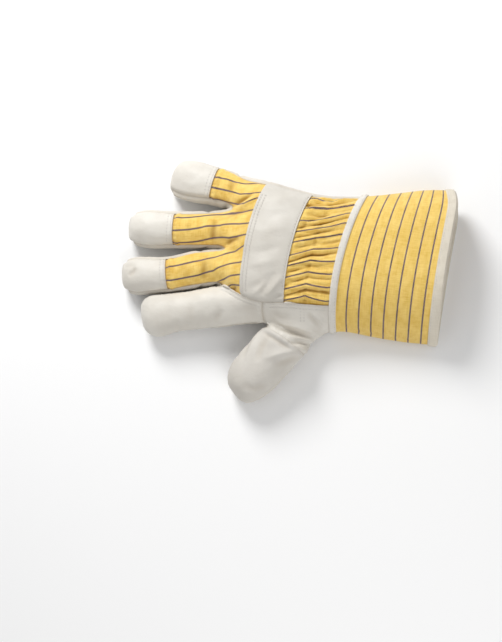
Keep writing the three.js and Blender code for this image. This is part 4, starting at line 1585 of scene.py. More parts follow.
@dataclass
class PanelMaker:
    """Cuts the skin into panels and turns each into a closed sheet, in millimetres.

    A lapped edge rises by lap_rise over the width of the lap, and what lies below it sinks.
    """

    skin: Skin
    sizes: GloveSizes
    allowance: float = 1.4
    lap_width: float = 3.2
    lap_rise: float = 0.35
    lap_sink: float = 0.8
    under_slope: float = 0.2
    cap_bulge: float = 1.0
    cotton_wrinkle: float = 0.3
    leather_wrinkle: float = 0.06
    joint_width: float = 2.2
    joint_sink: float = 0.7
    groove: float = 0.28
    groove_width: float = 0.65
    # Painted shadow along each lapped edge: how dark it is at the edge, and how far it reaches
    painted_edge_shadow: float = 0.9
    painted_edge_shadow_width: float = 1.1

    def __post_init__(self) -> None:
        """Measure the lapped edges."""
        self.edge_distance, self.edge_travel = self.measured(LAPPED)
        self.cotton_distance, _ = self.measured(OVER_COTTON)
        self.cap_distance, _ = self.measured([(cap, Panel.BACK_COTTON) for cap in CAPS])
        self.joint_distance, _ = self.measured([OVER_SIDE])
        self.trees: dict[Panel, BVHTree] = {}
        self.leather_look = SheetLook(self.sizes.leather, 0.35)
        self.looks = {
            Panel.CUFF: SheetLook(self.sizes.canvas, 0.3),
            Panel.BACK_COTTON: SheetLook(self.sizes.cotton, 0.25),
        }

    def measured(self, pairs: Iterable[Iterable[Panel]]) -> tuple[np.ndarray, np.ndarray]:
        """Distances of the skin's points to the lines between panels, and where along them."""
        return self.skin.seam(pairs).measure(self.skin.smooth_places, self.skin.seam_reach)

    def shifted(self, panel: Panel) -> np.ndarray:
        """Places of the skin's points as one panel needs them, raised or sunk at its lapped edges.

        Args:
            panel: The panel.

        Returns:
            The places.
        """
        skin = self.skin
        near = bell(self.edge_distance, self.lap_width)
        wave = np.sin(self.edge_travel * 1.9 + 1.4 * np.sin(self.edge_travel * 0.4))
        wrinkle = bell(self.edge_distance, 2.4, 2.2) * wave
        if panel is Panel.BACK_COTTON:
            bulge = self.cap_bulge * bell(self.cap_distance, 1.8, 4.0)
            height = -self.lap_sink * near + self.cotton_wrinkle * wrinkle + bulge
            under = -self.lap_sink - self.under_slope * self.edge_distance
            height = np.where(skin.points_of(skin.panels, panel.value), height, under)
        elif panel is Panel.CUFF:
            height = np.zeros(len(near))
        elif panel is Panel.SIDE_PANEL:
            joint = bell(self.joint_distance, self.joint_width)
            height = self.lap_rise * near * (1 - joint) - self.joint_sink * joint
        else:
            height = self.lap_rise * near + self.leather_wrinkle * wrinkle
        if panel in SEWN_DOWN:
            for inset in SEAM_ROWS:
                height -= self.groove * bell(self.edge_distance, self.groove_width, inset)
        return skin.places + skin.normals * height[:, None]

    def labels(self, panel: Panel) -> np.ndarray:
        """Labels of the faces, with what lies under a lapped edge given to the cotton as well.

        Args:
            panel: The panel that is to be cut.

        Returns:
            One label for each face of the skin.
        """
        skin = self.skin
        if panel is not Panel.BACK_COTTON:
            return skin.panels
        is_near = (self.cotton_distance[skin.corners] < self.allowance).any(axis=1)
        under = is_near & np.isin(skin.panels, [leather.value for leather in SEWN_DOWN])
        return np.where(under, Panel.BACK_COTTON.value, skin.panels)

    def cut(self, labels: np.ndarray, value: int, places: np.ndarray) -> Mesh:
        """Copy the faces with one label.

        Args:
            labels: One label for each face of the skin.
            value: The label to keep.
            places: Places of the skin's points.

        Returns:
            The mesh of those faces.
        """
        bm = bmesh.new()
        bm.from_mesh(self.skin.mesh)
        # Each point carries its painted shade: the depth of its fold or seam, or the painted shadow along a
        # lapped edge, whichever is darker
        painted_shade = bm.verts.layers.float.new("painted_shade")
        edge = self.painted_edge_shadow * bell(self.edge_distance, self.painted_edge_shadow_width)
        for vert, place, depth in zip(bm.verts, places, np.maximum(self.skin.painted_shading, edge)):
            vert.co = place
            vert[painted_shade] = depth
        others = [face for face, label in zip(bm.faces, labels) if label != value]
        bmesh.ops.delete(bm, geom=others, context="FACES")
        return mesh_of(bm, "sheet")

    def make(self, panel: Panel, piece: Piece) -> None:
        """Make one panel.

        Args:
            panel: The panel.
            piece: What it is finished as.
        """
        mesh = self.cut(self.labels(panel), panel.value, self.shifted(panel))
        self.trees[panel] = tree_of(mesh)
        look = self.looks.get(panel, self.leather_look)
        made = piece.finish(refined(mesh, add_thickness(look)))


@dataclass
class CoverMaker:
    """Makes the knuckle strap and the palm patch, which are sewn over the skin, in millimetres."""

    skin: Skin
    maker: PanelMaker
    rounding: float = 0.4
    extra_levels: int = 1
    lift: float = 0.35
    thumb_sink: float = 1.5
    little_sink: float = 1.1
    groove: float = 0.36
    groove_width: float = 0.85
    most_stitches: int = 20000

    def __post_init__(self) -> None:
        """Start with no covers."""
        self.look = SheetLook(self.maker.sizes.leather, self.rounding)
        self.trees: dict[Cover, BVHTree] = {}
        self.edges: dict[Cover, list[Line]] = {}

    def base_places(self, folds: Iterable[Fold]) -> np.ndarray:
        """Places of the cover's outer face: the smooth skin, lifted, with the cover's own folds.

        Args:
            folds: The cover's folds.

        Returns:
            The places.
        """
        skin = self.skin
        soft = sum(uneven.over(skin.smooth_places) for uneven in COVER_SOFT)
        height = self.lift + self.look.thickness + soft
        height += fold_heights(skin.smooth_places, skin.normals, folds)
        return skin.smooth_places + skin.normals * height[:, None]

    def sink_ends(self, places: np.ndarray) -> np.ndarray:
        """Draw the strap's ends in, under the leather and into the side seam.

        Args:
            places: Places of the strap's outer face.

        Returns:
            The new places.
        """
        lanes = self.skin.lanes
        sink = self.thumb_sink * bell(lanes, 0.22, FIRST_COTTON)
        sink += self.little_sink * bell(lanes, 0.45, LANES)
        return places - self.skin.normals * sink[:, None]

    def make(self, cover: Cover, folds: Iterable[Fold], piece: Piece) -> None:
        """Make one cover.

        Args:
            cover: The cover.
            folds: Its own folds.
            piece: What it is finished as.
        """
        places = self.base_places(folds)
        if cover is Cover.KNUCKLE_STRAP:
            places = self.sink_ends(places)
        mesh = self.maker.cut(self.skin.covers, cover.value, places)
        mesh = refined(mesh, add_subdivision(self.extra_levels))
        self.trees[cover] = tree_of(mesh)
        self.edges[cover] = border_lines(mesh)
        self.press_rows(mesh, cover)
        mesh = refined(mesh, add_thickness(self.look))
        keep_above_floor(mesh)
        piece.finish(mesh)

    def press_rows(self, mesh: Mesh, cover: Cover) -> None:
        """Press a groove along each row of stitches.

        Args:
            mesh: The cover's mesh.
            cover: The cover.
        """
        tree = KDTree(self.most_stitches)
        count = 0
        for row in COVER_ROWS[cover]:
            for stitches in row.lay(self.edges[cover], self.trees[cover]):
                for place, _, _ in stitches:
                    tree.insert(place, count)
                    count += 1
        tree.balance()
        places, normals = vectors_of(mesh)
        nearest = np.array([tree.find(Vector(place))[2] for place in places])
        dip = self.groove * bell(nearest, self.groove_width)
        set_places(mesh, places - normals * dip[:, None])


@dataclass(frozen=True)
class StitchRow:
    """A row of stitches beside an edge, in millimetres.

    inset is how far it lies in from the edge, pitch the distance from one stitch to the next, and
    keep, where given, tells which places of the edge it follows. step is that of the look-up.
    """

    inset: float
    pitch: float = 2.7
    keep: Callable[[Vector], bool] | None = None
    step: float = 0.9

    def lay(self, edges: Sequence[Line], tree: BVHTree) -> list[list[Stitch]]:
        """Lay the row beside a sheet's edges.

        Args:
            edges: The edges.
            tree: The sheet's surface.

        Returns:
            The stitches of each stretch.
        """
        border = [place for edge in edges for place in edge]
        near = KDTree(len(border))
        for index, place in enumerate(border):
            near.insert(place, index)
        near.balance()
        parts = [part for edge in edges for part in stretches(edge, self.keep)]
        return [self.sewn(self.inner(part, tree, near), tree) for part in parts]

    def inner(self, line: Line, tree: BVHTree, near: KDTree) -> Line:
        """Step in from a stretch of an edge.

        Args:
            line: The stretch.
            tree: The sheet's surface.
            near: The places of all its edges.

        Returns:
            Places on the surface that lie the inset away from every edge.
        """
        samples = resampled(line, self.step)
        inner = []
        for before, place, after in zip(samples, samples[1:], samples[2:]):
            _, normal, _, _ = tree.find_nearest(place)
            inward = normal.cross((after - before).normalized())
            sides = [tree.find_nearest(place + inward * sign * self.inset) for sign in (1, -1)]
            found, _, _, gap = min(sides, key=lambda side: side[3])
            if gap < self.inset * 0.45 and near.find(found)[2] > self.inset * 0.9:
                inner.append(found)
        return inner

    def sewn(self, line: Line, tree: BVHTree) -> list[Stitch]:
        """Set stitches along a line.

        Args:
            line: The line.
            tree: The surface that it lies on.

        Returns:
            The stitches, with none across a gap in the line.
        """
        if len(line) < SHORTEST_LINE:
            return []
        ends = resampled(line, self.pitch)
        stitches = []
        for first, second in zip(ends, ends[1:]):
            found, facing, _, _ = tree.find_nearest((first + second) / 2)
            if (second - first).length < self.pitch * 1.6:
                stitches.append((found, (second - first).normalized(), facing))
        return stitches


def is_strap_front(place: Vector) -> bool:
    """Whether a place on the strap's edge lies on the side of the fingers."""
    return place.x < -15 + 0.25 * (place.y - 20) and -17 < place.y < 66


def is_strap_rear(place: Vector) -> bool:
    """Whether a place on the strap's edge lies on the side of the wrist."""
    return place.x > -7 + 0.25 * (place.y - 20) and -19 < place.y < 62


COVER_ROWS = {
    Cover.KNUCKLE_STRAP: (
        StitchRow(2.1, keep=is_strap_front),
        StitchRow(5.4, keep=is_strap_front),
        StitchRow(1.8, keep=is_strap_rear),
    ),
    Cover.PALM_PATCH: (
        StitchRow(2.0),
        StitchRow(5.0),
    ),
}


def border_lines(mesh: Mesh) -> list[Line]:
    """Border lines of an open sheet.

    Args:
        mesh: The sheet.

    Returns:
        The places along each line.
    """
    bm = bmesh.new()
    bm.from_mesh(mesh)
    bm.verts.ensure_lookup_table()
    edges = [(e.verts[0].index, e.verts[1].index) for e in bm.edges if e.is_boundary]
    lines = [[bm.verts[point].co.copy() for point in chain] for chain in chained(edges)]
    bm.free()
    return lines


def resampled(line: Line, pitch: float) -> Line:
    """Places at equal steps along a line.

    Args:
        line: The line.
        pitch: The wanted step, which is stretched to fit the whole length.

    Returns:
        The places, both ends included.
    """
    lengths = [0.0]
    for first, second in zip(line, line[1:]):
        lengths.append(lengths[-1] + (second - first).length)
    count = max(1, round(lengths[-1] / pitch))
    places = []
    index = 0
    for step in range(count + 1):
        target = lengths[-1] * step / count
        while index < len(line) - 2 and lengths[index + 1] < target:
            index += 1
        span = lengths[index + 1] - lengths[index]
        share = (target - lengths[index]) / span if span > 0 else 0.0
        places.append(line[index].lerp(line[index + 1], min(1.0, max(0.0, share))))
    return places


def stretches(line: Line, keep: Callable[[Vector], bool] | None) -> list[Line]:
    """The stretches of a line that a test keeps.

    Args:
        line: The line.
        keep: The test, or none to keep the whole line.

    Returns:
        The stretches.
    """
    if keep is None:
        return [list(line)]
    found: list[Line] = [[]]
    for place in line:
        if keep(place):
            found[-1].append(place)
        elif found[-1]:
            found.append([])
    return [stretch for stretch in found if len(stretch) >= SHORTEST_LINE]

@dataclass
class Stitches:
    """Rows of stitches, each a small rounded bead of thread, in millimetres."""

    length: float = 1.9
    width: float = 0.72
    height: float = 0.6
    floor_gap: float = 0.03
    tilt: float = 0.10
    count: int = 0
    bm: BMesh = field(default_factory=bmesh.new)

    def add(self, place: Vector, along: Vector, normal: Vector) -> None:
        """Add one stitch.

        Args:
            place: Its place on the surface.
            along: Its direction.
            normal: The surface's normal.
        """
        side = normal.cross(along).normalized()
        ahead = side.cross(normal).normalized()
        tilt = self.tilt * math.sin(self.count * 2.4)
        ahead = (ahead + side * tilt).normalized()
        side = normal.cross(ahead)
        place = place.copy()
        place.z = max(place.z, self.height / 2 + self.floor_gap)
        axes = Matrix((ahead, side, normal)).transposed().to_4x4()
        size = Matrix.Diagonal((self.length / 2, self.width / 2, self.height / 2, 1))
        spot = Matrix.Translation(place)
        bmesh.ops.create_icosphere(self.bm, subdivisions=1, radius=1.0, matrix=spot @ axes @ size)
        self.count += 1

    def add_rows(self, rows: Iterable[Iterable[Stitch]]) -> None:
        """Add every stitch of some rows."""
        for row in rows:
            for stitch in row:
                self.add(*stitch)

    def make(self, piece: Piece) -> None:
        """Make the piece."""
        piece.finish(mesh_of(self.bm, piece.name))
        log.info("%s: %d stitches", piece.name, self.count)


@dataclass
class Tape:
    """A tape or binding swept round an edge of the cuff, in millimetres.

    Each corner of its profile is a distance from the edge and an offset from the surface, and
    toward is the rough direction in which the distances run.
    """

    profile: Sequence[tuple[float, float]]
    surface: BVHTree
    toward: Vector
    puff: float = 0.06
    reach: float = 1.2

    def stations(self, line: Line) -> list[tuple[Vector, Vector, Vector, Vector]]:
        """Place, direction, side and normal at each point of a closed line on the surface.

        Args:
            line: The line, without its first point repeated.

        Returns:
            The stations.
        """
        found = []
        for index, place in enumerate(line):
            along = (line[(index + 1) % len(line)] - line[index - 1]).normalized()
            _, normal, _, _ = self.surface.find_nearest(place)
            side = normal.cross(along).normalized()
            found.append((place, along, side if side.dot(self.toward) > 0 else -side, normal))
        return found

    def laid(self, corner: Vector) -> Vector:
        """The place of the surface next to a corner, or the corner where the surface has ended."""
        found, _, _, gap = self.surface.find_nearest(corner)
        return found if gap < self.reach else corner

    def sweep(self, line: Line) -> Mesh:
        """Sweep the section round a closed line.

        Args:
            line: The line, without its first point repeated.

        Returns:
            The mesh.
        """
        bm = bmesh.new()
        size = len(self.profile)
        rings: list[list[BMVert]] = []
        for place, _, side, normal in self.stations(line):
            if rings:
                rings.append(extruded(bm, rings[-1]))
            else:
                rings.append(bmesh.ops.create_circle(bm, segments=size, radius=1.0)["verts"])
            travelled = len(rings) * TAPE_STEP
            puff = 1 + self.puff * math.sin(travelled * 1.7 + 1.3 * math.sin(travelled * 0.37))
            for point, (distance, offset) in zip(rings[-1], self.profile):
                point.co = self.laid(place + side * distance) + normal * offset * puff
        ends = [bm.edges.get((ring[i], ring[(i + 1) % size])) for ring in (rings[-1], rings[0])
                for i in range(size)]
        bmesh.ops.bridge_loops(bm, edges=ends)
        bmesh.ops.recalc_face_normals(bm, faces=bm.faces)
        return mesh_of(bm, "tape")

    def stitches(self, line: Line, distance: float, height: float) -> list[list[Stitch]]:
        """A row of stitches along the tape.

        Args:
            line: The line, a stitch's pitch from point to point.
            distance: How far the row lies from it.
            height: How high it lies above the surface.

        Returns:
            The row, in a list of its own.
        """
        return [[
            (self.laid(place + side * distance) + normal * height, along, normal)
            for place, along, side, normal in self.stations(line)
        ]]

    def make(self, line: Line, piece: Piece) -> None:
        """Make the tape along a closed line."""
        mesh = self.sweep(line)
        keep_above_floor(mesh)
        piece.finish(mesh)


WELT_PROFILE = (
    (-2.9, 0.10), (-2.95, 0.60), (-2.7, 1.15), (-2.0, 1.55), (-0.8, 1.70), (0.6, 1.60), (1.9, 1.40),
    (2.6, 1.10), (2.85, 0.60), (2.8, 0.10), (1.4, 0.05), (0.0, 0.05), (-1.4, 0.05),
)
BINDING_PROFILE = (
    (6.6, 0.05), (6.75, 0.55), (6.5, 1.00), (5.4, 1.15), (3.2, 1.30), (1.2, 1.35), (0.0, 1.20),
    (-0.75, 0.75), (-1.25, 0.0), (-1.4, -0.9), (-1.25, -1.8), (-0.75, -2.55), (0.0, -3.0),
    (1.2, -3.15), (3.2, -3.1), (5.4, -2.95), (6.5, -2.8), (6.75, -2.35), (6.6, -1.85),
    (3.0, -1.85), (-0.1, -1.85), (-0.1, 0.05), (3.0, 0.05),
)


Value = Socket | float | Sequence[float]


class NodeMaker:
    """Short ways to add shader nodes to a tree; a node's inputs are named with _ for a space."""

    def __init__(self, tree: NodeTree) -> None:
        """Keep the tree."""
        self.tree = tree

    def feed(self, target: Socket, value: Value) -> None:
        """Join an input to another socket, or set it to a value.

        Args:
            target: The input.
            value: The socket or the value.
        """
        if isinstance(value, Socket):
            self.tree.links.new(value, target)
        else:
            target.default_value = value

    def fill(self, node: bpy.types.Node, **inputs: Value) -> bpy.types.Node:
        """Feed some of a node's inputs, and give the node back."""
        for name, value in inputs.items():
            self.feed(node.inputs[name.replace("_", " ")], value)
        return node

    def node(self, kind: str, **inputs: Value) -> bpy.types.Node:
        """Add a node of a kind, such as Math, and feed its inputs."""
        return self.fill(self.tree.nodes.new("ShaderNode" + kind), **inputs)


class ShaderGroup(NodeMaker):
    """A shader node group with named inputs and outputs."""

    def __init__(self, name: str, inputs: dict[str, float | None], outputs: Sequence[str]) -> None:
        """Start the group.

        Args:
            name: Its name.
            inputs: The default of each input, or None for a vector.
            outputs: The names of its outputs.
        """
        super().__init__(bpy.data.node_groups.new(name, "ShaderNodeTree"))
        for label, default in inputs.items():
            kind = "NodeSocketVector" if default is None else "NodeSocketFloat"
            socket = self.tree.interface.new_socket(label, in_out="INPUT", socket_type=kind)
            if default is not None:
                socket.default_value = default
        for label in outputs:
            self.tree.interface.new_socket(label, in_out="OUTPUT", socket_type="NodeSocketFloat")
        self.given = self.tree.nodes.new("NodeGroupInput").outputs
        self.results = self.tree.nodes.new("NodeGroupOutput").inputs

    def put_out(self, name: str, value: Socket) -> None:
        """Join a socket to one of the group's outputs."""
        self.feed(self.results[name], value)

    def math(self, operation: str, *values: Socket | float) -> Socket:
        """Add a Math node.

        Args:
            operation: Its operation.
            values: What its inputs are fed.

        Returns:
            Its result.
        """
        node = self.node("Math")
        node.operation = operation
        for socket, value in zip(node.inputs, values):
            self.feed(socket, value)
        return node.outputs[0]

    def add(self, first: Socket | float, second: Socket | float) -> Socket:
        """Sum of two values."""
        return self.math("ADD", first, second)

    def less(self, first: Socket | float, second: Socket | float) -> Socket:
        """Difference of two values."""
        return self.math("SUBTRACT", first, second)

    def times(self, first: Socket | float, second: Socket | float) -> Socket:
        """Product of two values."""
        return self.math("MULTIPLY", first, second)

    def over(self, first: Socket | float, second: Socket | float) -> Socket:
        """Quotient of two values."""
        return self.math("DIVIDE", first, second)

    def noise(self, vector: Socket, scale: float, detail: float, roughness: float = 0.5,
              distortion: float = 0.0) -> Socket:
        """Factor of a Noise Texture."""
        return self.node("TexNoise", Vector=vector, Scale=scale, Detail=detail, Roughness=roughness,
                         Distortion=distortion).outputs["Fac"]

    def cloth_noise(self, across: float, along: float, detail: float, roughness: float = 0.5) -> Socket:
        """Factor of a Noise Texture with its own scales across and along the cloth."""
        return self.noise(self.stretched(self.given["Cloth"], (across, along, 1.0)), 1.0, detail, roughness)

    def stretched(self, vector: Socket, scale: tuple[float, float, float], turn: float = 0.0) -> Socket:
        """A vector that a Mapping node scales, and turns about Z."""
        return self.node("Mapping", Vector=vector, Scale=scale, Rotation=(0.0, 0.0, turn)).outputs[0]

    def ranged(self, value: Socket, low: float, high: float, to_low: float = 0.0,
               to_high: float = 1.0) -> Socket:
        """A value that a smooth Map Range node brings from one range to another."""
        node = self.node("MapRange", Value=value, From_Min=low, From_Max=high, To_Min=to_low, To_Max=to_high)
        node.interpolation_type = "SMOOTHSTEP"
        return node.outputs["Result"]


def grain_group() -> NodeTree:
    """Leather grain: small pebbles, pores and drawn lines, and soft mottling.

    Returns:
        A group that puts out the grain's height and the mottle's mask.
    """
    group = ShaderGroup("leather_grain", {"Vector": None, "Pebble": 900.0}, ("Height", "Mottle"))
    vector = group.given["Vector"]
    cells = group.node("TexVoronoi")
    cells.feature = "SMOOTH_F1"
    group.fill(cells, Vector=vector, Scale=group.given["Pebble"], Smoothness=0.4)
    fine = group.noise(vector, 2600.0, 2.0)
    pores = group.noise(vector, 620.0, 4.0, 0.6)
    drawn = group.noise(group.stretched(vector, (1.0, 2.1, 1.0), 0.5), 210.0, 4.0, 0.5, 0.6)
    height = group.times(cells.outputs["Distance"], 0.55)
    for layer, weight in ((fine, 0.25), (pores, 0.8), (drawn, 1.6)):
        height = group.add(height, group.times(layer, weight))
    group.put_out("Height", height)
    group.put_out("Mottle", group.ranged(group.noise(vector, 34.0, 4.0, 0.55), 0.32, 0.68))
    return group.tree


def weave_group() -> NodeTree:
    """Woven cloth with stripes: the first place runs across the stripes, the second along them.

    Returns:
        A group that puts out the weave's height, the slub of its threads, the stripe's mask and the
        twist of the two threads in it.
    """
    group = ShaderGroup(
        "striped_weave",
        {"Cloth": None, "Thread": 0.00052, "Stripe Pitch": 0.0105, "Stripe Start": 0.0,
         "Stripe Width": 0.00128},
        ("Height", "Slub", "Stripe", "Twist"),
    )
    given = group.given
    split = group.node("SeparateXYZ", Vector=given["Cloth"])
    across, along = split.outputs["X"], split.outputs["Y"]
    threads = []
    for place in (across, along):
        wave = group.math("SINE", group.times(group.over(place, given["Thread"]), math.pi))
        threads.append(group.math("ABSOLUTE", wave))
    slant = group.over(group.add(across, along), given["Thread"])
    above = group.ranged(group.math("SINE", group.times(slant, math.pi)), -0.3, 0.3)
    height = group.add(group.times(threads[0], above), group.times(threads[1], group.less(1.0, above)))
    slub = group.add(group.cloth_noise(2400.0, 90.0, 2.0), group.cloth_noise(110.0, 1900.0, 2.0))
    slub = group.times(slub, 0.5)
    group.put_out("Height", group.add(height, group.times(slub, 0.8)))
    cloudy = group.cloth_noise(170.0, 120.0, 3.0, 0.6)
    uneven = group.add(group.times(slub, 0.6), group.times(cloudy, 0.4))
    group.put_out("Slub", group.ranged(uneven, 0.31, 0.66))

    turns = group.over(group.less(across, given["Stripe Start"]), given["Stripe Pitch"])
    wander = group.times(group.less(group.cloth_noise(60.0, 420.0, 1.0), 0.5), 0.018)
    turns = group.add(turns, wander)
    nearest = group.less(turns, group.math("ROUND", turns))
    distance = group.times(group.math("ABSOLUTE", nearest), given["Stripe Pitch"])
    share = group.over(distance, given["Stripe Width"])
    group.put_out("Stripe", group.ranged(share, 0.40, 0.60, 1.0, 0.0))
    twist = group.add(group.times(along, 1 / 0.0016), group.times(nearest, 9.0))
    twist = group.math("SINE", group.times(twist, 2 * math.pi))
    blotch = group.less(group.cloth_noise(80.0, 260.0, 2.0), 0.5)
    twist = group.add(twist, group.times(blotch, 3.0))
    group.put_out("Twist", group.ranged(twist, -0.4, 0.6))
    return group.tree


def soil_group() -> NodeTree:
    """Light soiling and handling: broad patches that are a little greyer than the rest.

    Returns:
        A group that puts out one mask.
    """
    group = ShaderGroup("soil", {"Vector": None, "Amount": 1.0}, ("Mask",))
    vector = group.given["Vector"]
    broad = group.ranged(group.noise(vector, 22.0, 3.0), 0.45, 0.75)
    speck = group.ranged(group.noise(vector, 480.0, 2.0), 0.60, 0.80)
    mask = group.add(group.times(broad, 0.7), group.times(speck, 0.3))
    mask = group.times(mask, group.given["Amount"])
    mask.node.use_clamp = True
    group.put_out("Mask", mask)
    return group.tree


class Material(NodeMaker):
    """A material under way, with short ways to add its nodes."""

    def __init__(self, name: str) -> None:
        """Start the material.

        Args:
            name: Its name.
        """
        self.material = bpy.data.materials.new(name)
        self.material.use_nodes = True
        super().__init__(self.material.node_tree)
        self.shader = self.tree.nodes["Principled BSDF"]
        self.place = self.node("TexCoord").outputs["Object"]

    # Painted shade: the mask of the darker colour painted into folds, seams and along lapped edges
    def painted_shading(self, end: float) -> Socket:
        """How deep a place lies in a fold or by an edge, from 0 to the given end."""
        node = self.node("Attribute")
        node.attribute_name = "painted_shade"
        return self.ranged(node.outputs["Fac"], 0.0, end)

    def cloth(self) -> Socket:
        """Read the cloth's own places.

        Returns:
            The places in metres.
        """
        layer = self.node("UVMap")
        layer.uv_map = "cloth"
        scaled = self.node("VectorMath")
        scaled.operation = "SCALE"
        self.feed(scaled.inputs[0], layer.outputs["UV"])
        return self.fill(scaled, Scale=MM).outputs["Vector"]

    def group(self, tree: NodeTree, vector: Socket, **values: float) -> bpy.types.NodeOutputs:
        """Place a shader group.

        Args:
            tree: The group.
            vector: What its first input reads.
            values: Its other inputs by name.

        Returns:
            Its outputs.
        """
        node = self.node("Group")
        node.node_tree = tree
        self.feed(node.inputs[0], vector)
        return self.fill(node, **values).outputs

    def mixed(self, mask: Socket, first: Socket | Colour, second: Socket | Colour) -> Socket:
        """Mix two colours by a mask.

        Args:
            mask: 0 for the first colour, 1 for the second.
            first: The first colour.
            second: The second colour.

        Returns:
            The mixed colour.
        """
        node = self.node("Mix")
        node.data_type = "RGBA"
        self.fill(node, Factor=mask)
        for socket, value in ((node.inputs[6], first), (node.inputs[7], second)):
            self.feed(socket, value if isinstance(value, Socket) else (*value, 1.0))
        return node.outputs[2]

    def ranged(self, mask: Socket, low: float, high: float) -> Socket:
        """A value that runs from low to high with a mask."""
        return self.node("MapRange", Value=mask, To_Min=low, To_Max=high).outputs["Result"]

    def finish(self, colour: Socket, roughness: Socket, specular: float, sheen: float) -> bpy.types.Material:
        """Join the colour and roughness, and set the gloss and sheen.

        Args:
            colour: The base colour.
            roughness: The roughness.
            specular: The specular level.
            sheen: The sheen's weight.

        Returns:
            The material.
        """
        self.fill(self.shader, Base_Color=colour, Roughness=roughness, Specular_IOR_Level=specular,
                  Sheen_Weight=sheen, Sheen_Roughness=0.4)
        return self.material

    def bump(self, height: Socket, strength: float, distance: float) -> None:
        """Give the shader a bump of a strength and of a depth in metres."""
        node = self.node("Bump", Height=height, Strength=strength, Distance=distance)
        self.fill(self.shader, Normal=node.outputs["Normal"])


@dataclass(frozen=True)
class LeatherFinish:
    """Off-white grain leather."""

    name: str
    colour: Colour
    shade: Colour
    # Colour of the painted shade in folds, seams and along lapped edges
    painted_shade: Colour = (0.50, 0.45, 0.38)
    pebble: float = 900.0
    bump: float = 0.35

    def material(self, grain: NodeTree, soil: NodeTree) -> bpy.types.Material:
        """Build the material.

        Args:
            grain: The grain group.
            soil: The soil group.

        Returns:
            The material.
        """
        made = Material(self.name)
        out = made.group(grain, made.place, Pebble=self.pebble)
        dirt = made.group(soil, made.place, Amount=0.5)
        colour = made.mixed(out["Mottle"], self.shade, self.colour)
        colour = made.mixed(dirt["Mask"], colour, self.shade)
        # Painted shade: the colour darkens in folds, seams and along lapped edges
        colour = made.mixed(made.painted_shading(0.5), colour, self.painted_shade)
        made.bump(out["Height"], self.bump, 0.0003)
        return made.finish(colour, made.ranged(out["Mottle"], 0.62, 0.50), 0.35, 0.05)


@dataclass(frozen=True)
class StripedFinish:
    """Yellow cotton with thin stripes of a dark and a pale thread twisted together."""

    name: str
    colour: Colour
    shade: Colour
    dark: Colour
    pale: Colour
    stripe_start: float
    # Colour of the painted shade in the cotton's folds, gathers and along lapped edges
    painted_shade: Colour = (0.34, 0.155, 0.012)
    bump: float = 0.6

    def material(self, weave: NodeTree, soil: NodeTree) -> bpy.types.Material:
        """Build the material.

        Args:
            weave: The weave group.
            soil: The soil group.

        Returns:
            The material.
        """
        made = Material(self.name)
        out = made.group(weave, made.cloth(), Stripe_Start=self.stripe_start)
        dirt = made.group(soil, made.place, Amount=0.35)
        colour = made.mixed(out["Slub"], self.shade, self.colour)
        colour = made.mixed(dirt["Mask"], colour, self.shade)
        # Painted shade: the cotton darkens to deep gold in its folds, gathers and along lapped edges
        colour = made.mixed(made.painted_shading(0.8), colour, self.painted_shade)
        threads = made.mixed(out["Twist"], self.dark, self.pale)
        colour = made.mixed(out["Stripe"], colour, threads)
        made.bump(out["Height"], self.bump, 0.00022)
        return made.finish(colour, made.ranged(out["Slub"], 0.92, 0.80), 0.25, 0.45)


@dataclass(frozen=True)
class TapeFinish:
    """Plain woven tape or thread."""

    name: str
    colour: Colour
    shade: Colour
    thread: float = 0.00045
    bump: float = 0.5

    def material(self, weave: NodeTree, soil: NodeTree) -> bpy.types.Material:
        """Build the material.

        Args:
            weave: The weave group.
            soil: The soil group.

        Returns:
            The material.
        """
        made = Material(self.name)
        out = made.group(weave, made.place, Thread=self.thread)
        dirt = made.group(soil, made.place, Amount=0.4)
        colour = made.mixed(out["Slub"], self.shade, self.colour)
        colour = made.mixed(dirt["Mask"], colour, self.shade)
        made.bump(out["Height"], self.bump, 0.00016)
        return made.finish(colour, made.ranged(out["Slub"], 0.90, 0.78), 0.25, 0.10)


LEATHER_BACK = LeatherFinish("leather_back", (0.69, 0.66, 0.60), (0.62, 0.585, 0.525))
LEATHER_STRAP = LeatherFinish("leather_strap", (0.63, 0.60, 0.545), (0.56, 0.53, 0.475))
LEATHER_PALM = LeatherFinish("leather_palm", (0.66, 0.62, 0.55), (0.59, 0.55, 0.485))
LEATHER_THUMB = LeatherFinish("leather_thumb", (0.63, 0.60, 0.55), (0.57, 0.54, 0.49))
COTTON = StripedFinish("striped_cotton", (0.95, 0.70, 0.225), (0.74, 0.45, 0.07),
                       (0.045, 0.028, 0.035), (0.31, 0.22, 0.22), 0.0)
CANVAS = StripedFinish("striped_canvas", (0.92, 0.67, 0.21), (0.74, 0.47, 0.085),
                       (0.05, 0.032, 0.045), (0.32, 0.23, 0.25), 12.5 * MM)
WELT_TAPE = TapeFinish("welt_tape", (0.76, 0.73, 0.67), (0.66, 0.63, 0.57))
EDGE_TAPE = TapeFinish("edge_tape", (0.73, 0.675, 0.575), (0.63, 0.575, 0.475))
THREAD = TapeFinish("thread", (0.68, 0.65, 0.60), (0.53, 0.50, 0.47), 0.0003)


@dataclass(frozen=True)
class Lamp:
    """A round soft light that shines at the middle of the glove: metres and watts."""

    name: str
    place: tuple[float, float, float]
    size: float
    power: float

    def build(self) -> None:
        """Build the light."""
        data = bpy.data.lights.new(self.name, "AREA")
        data.shape = "DISK"
        data.size = self.size
        data.energy = self.power
        lamp = bpy.data.objects.new(self.name, data)
        lamp.location = self.place
        lamp.rotation_mode = "QUATERNION"
        lamp.rotation_quaternion = (-Vector(self.place)).to_track_quat("-Z", "Y")
        bpy.context.scene.collection.objects.link(lamp)


LAMPS = (
    Lamp("key", (-0.35, 0.80, 0.66), 0.5, 11.0),
    Lamp("fill", (0.35, -0.75, 0.65), 0.9, 4.0),
    Lamp("top", (-0.10, 0.10, 1.25), 0.8, 1.0),
)


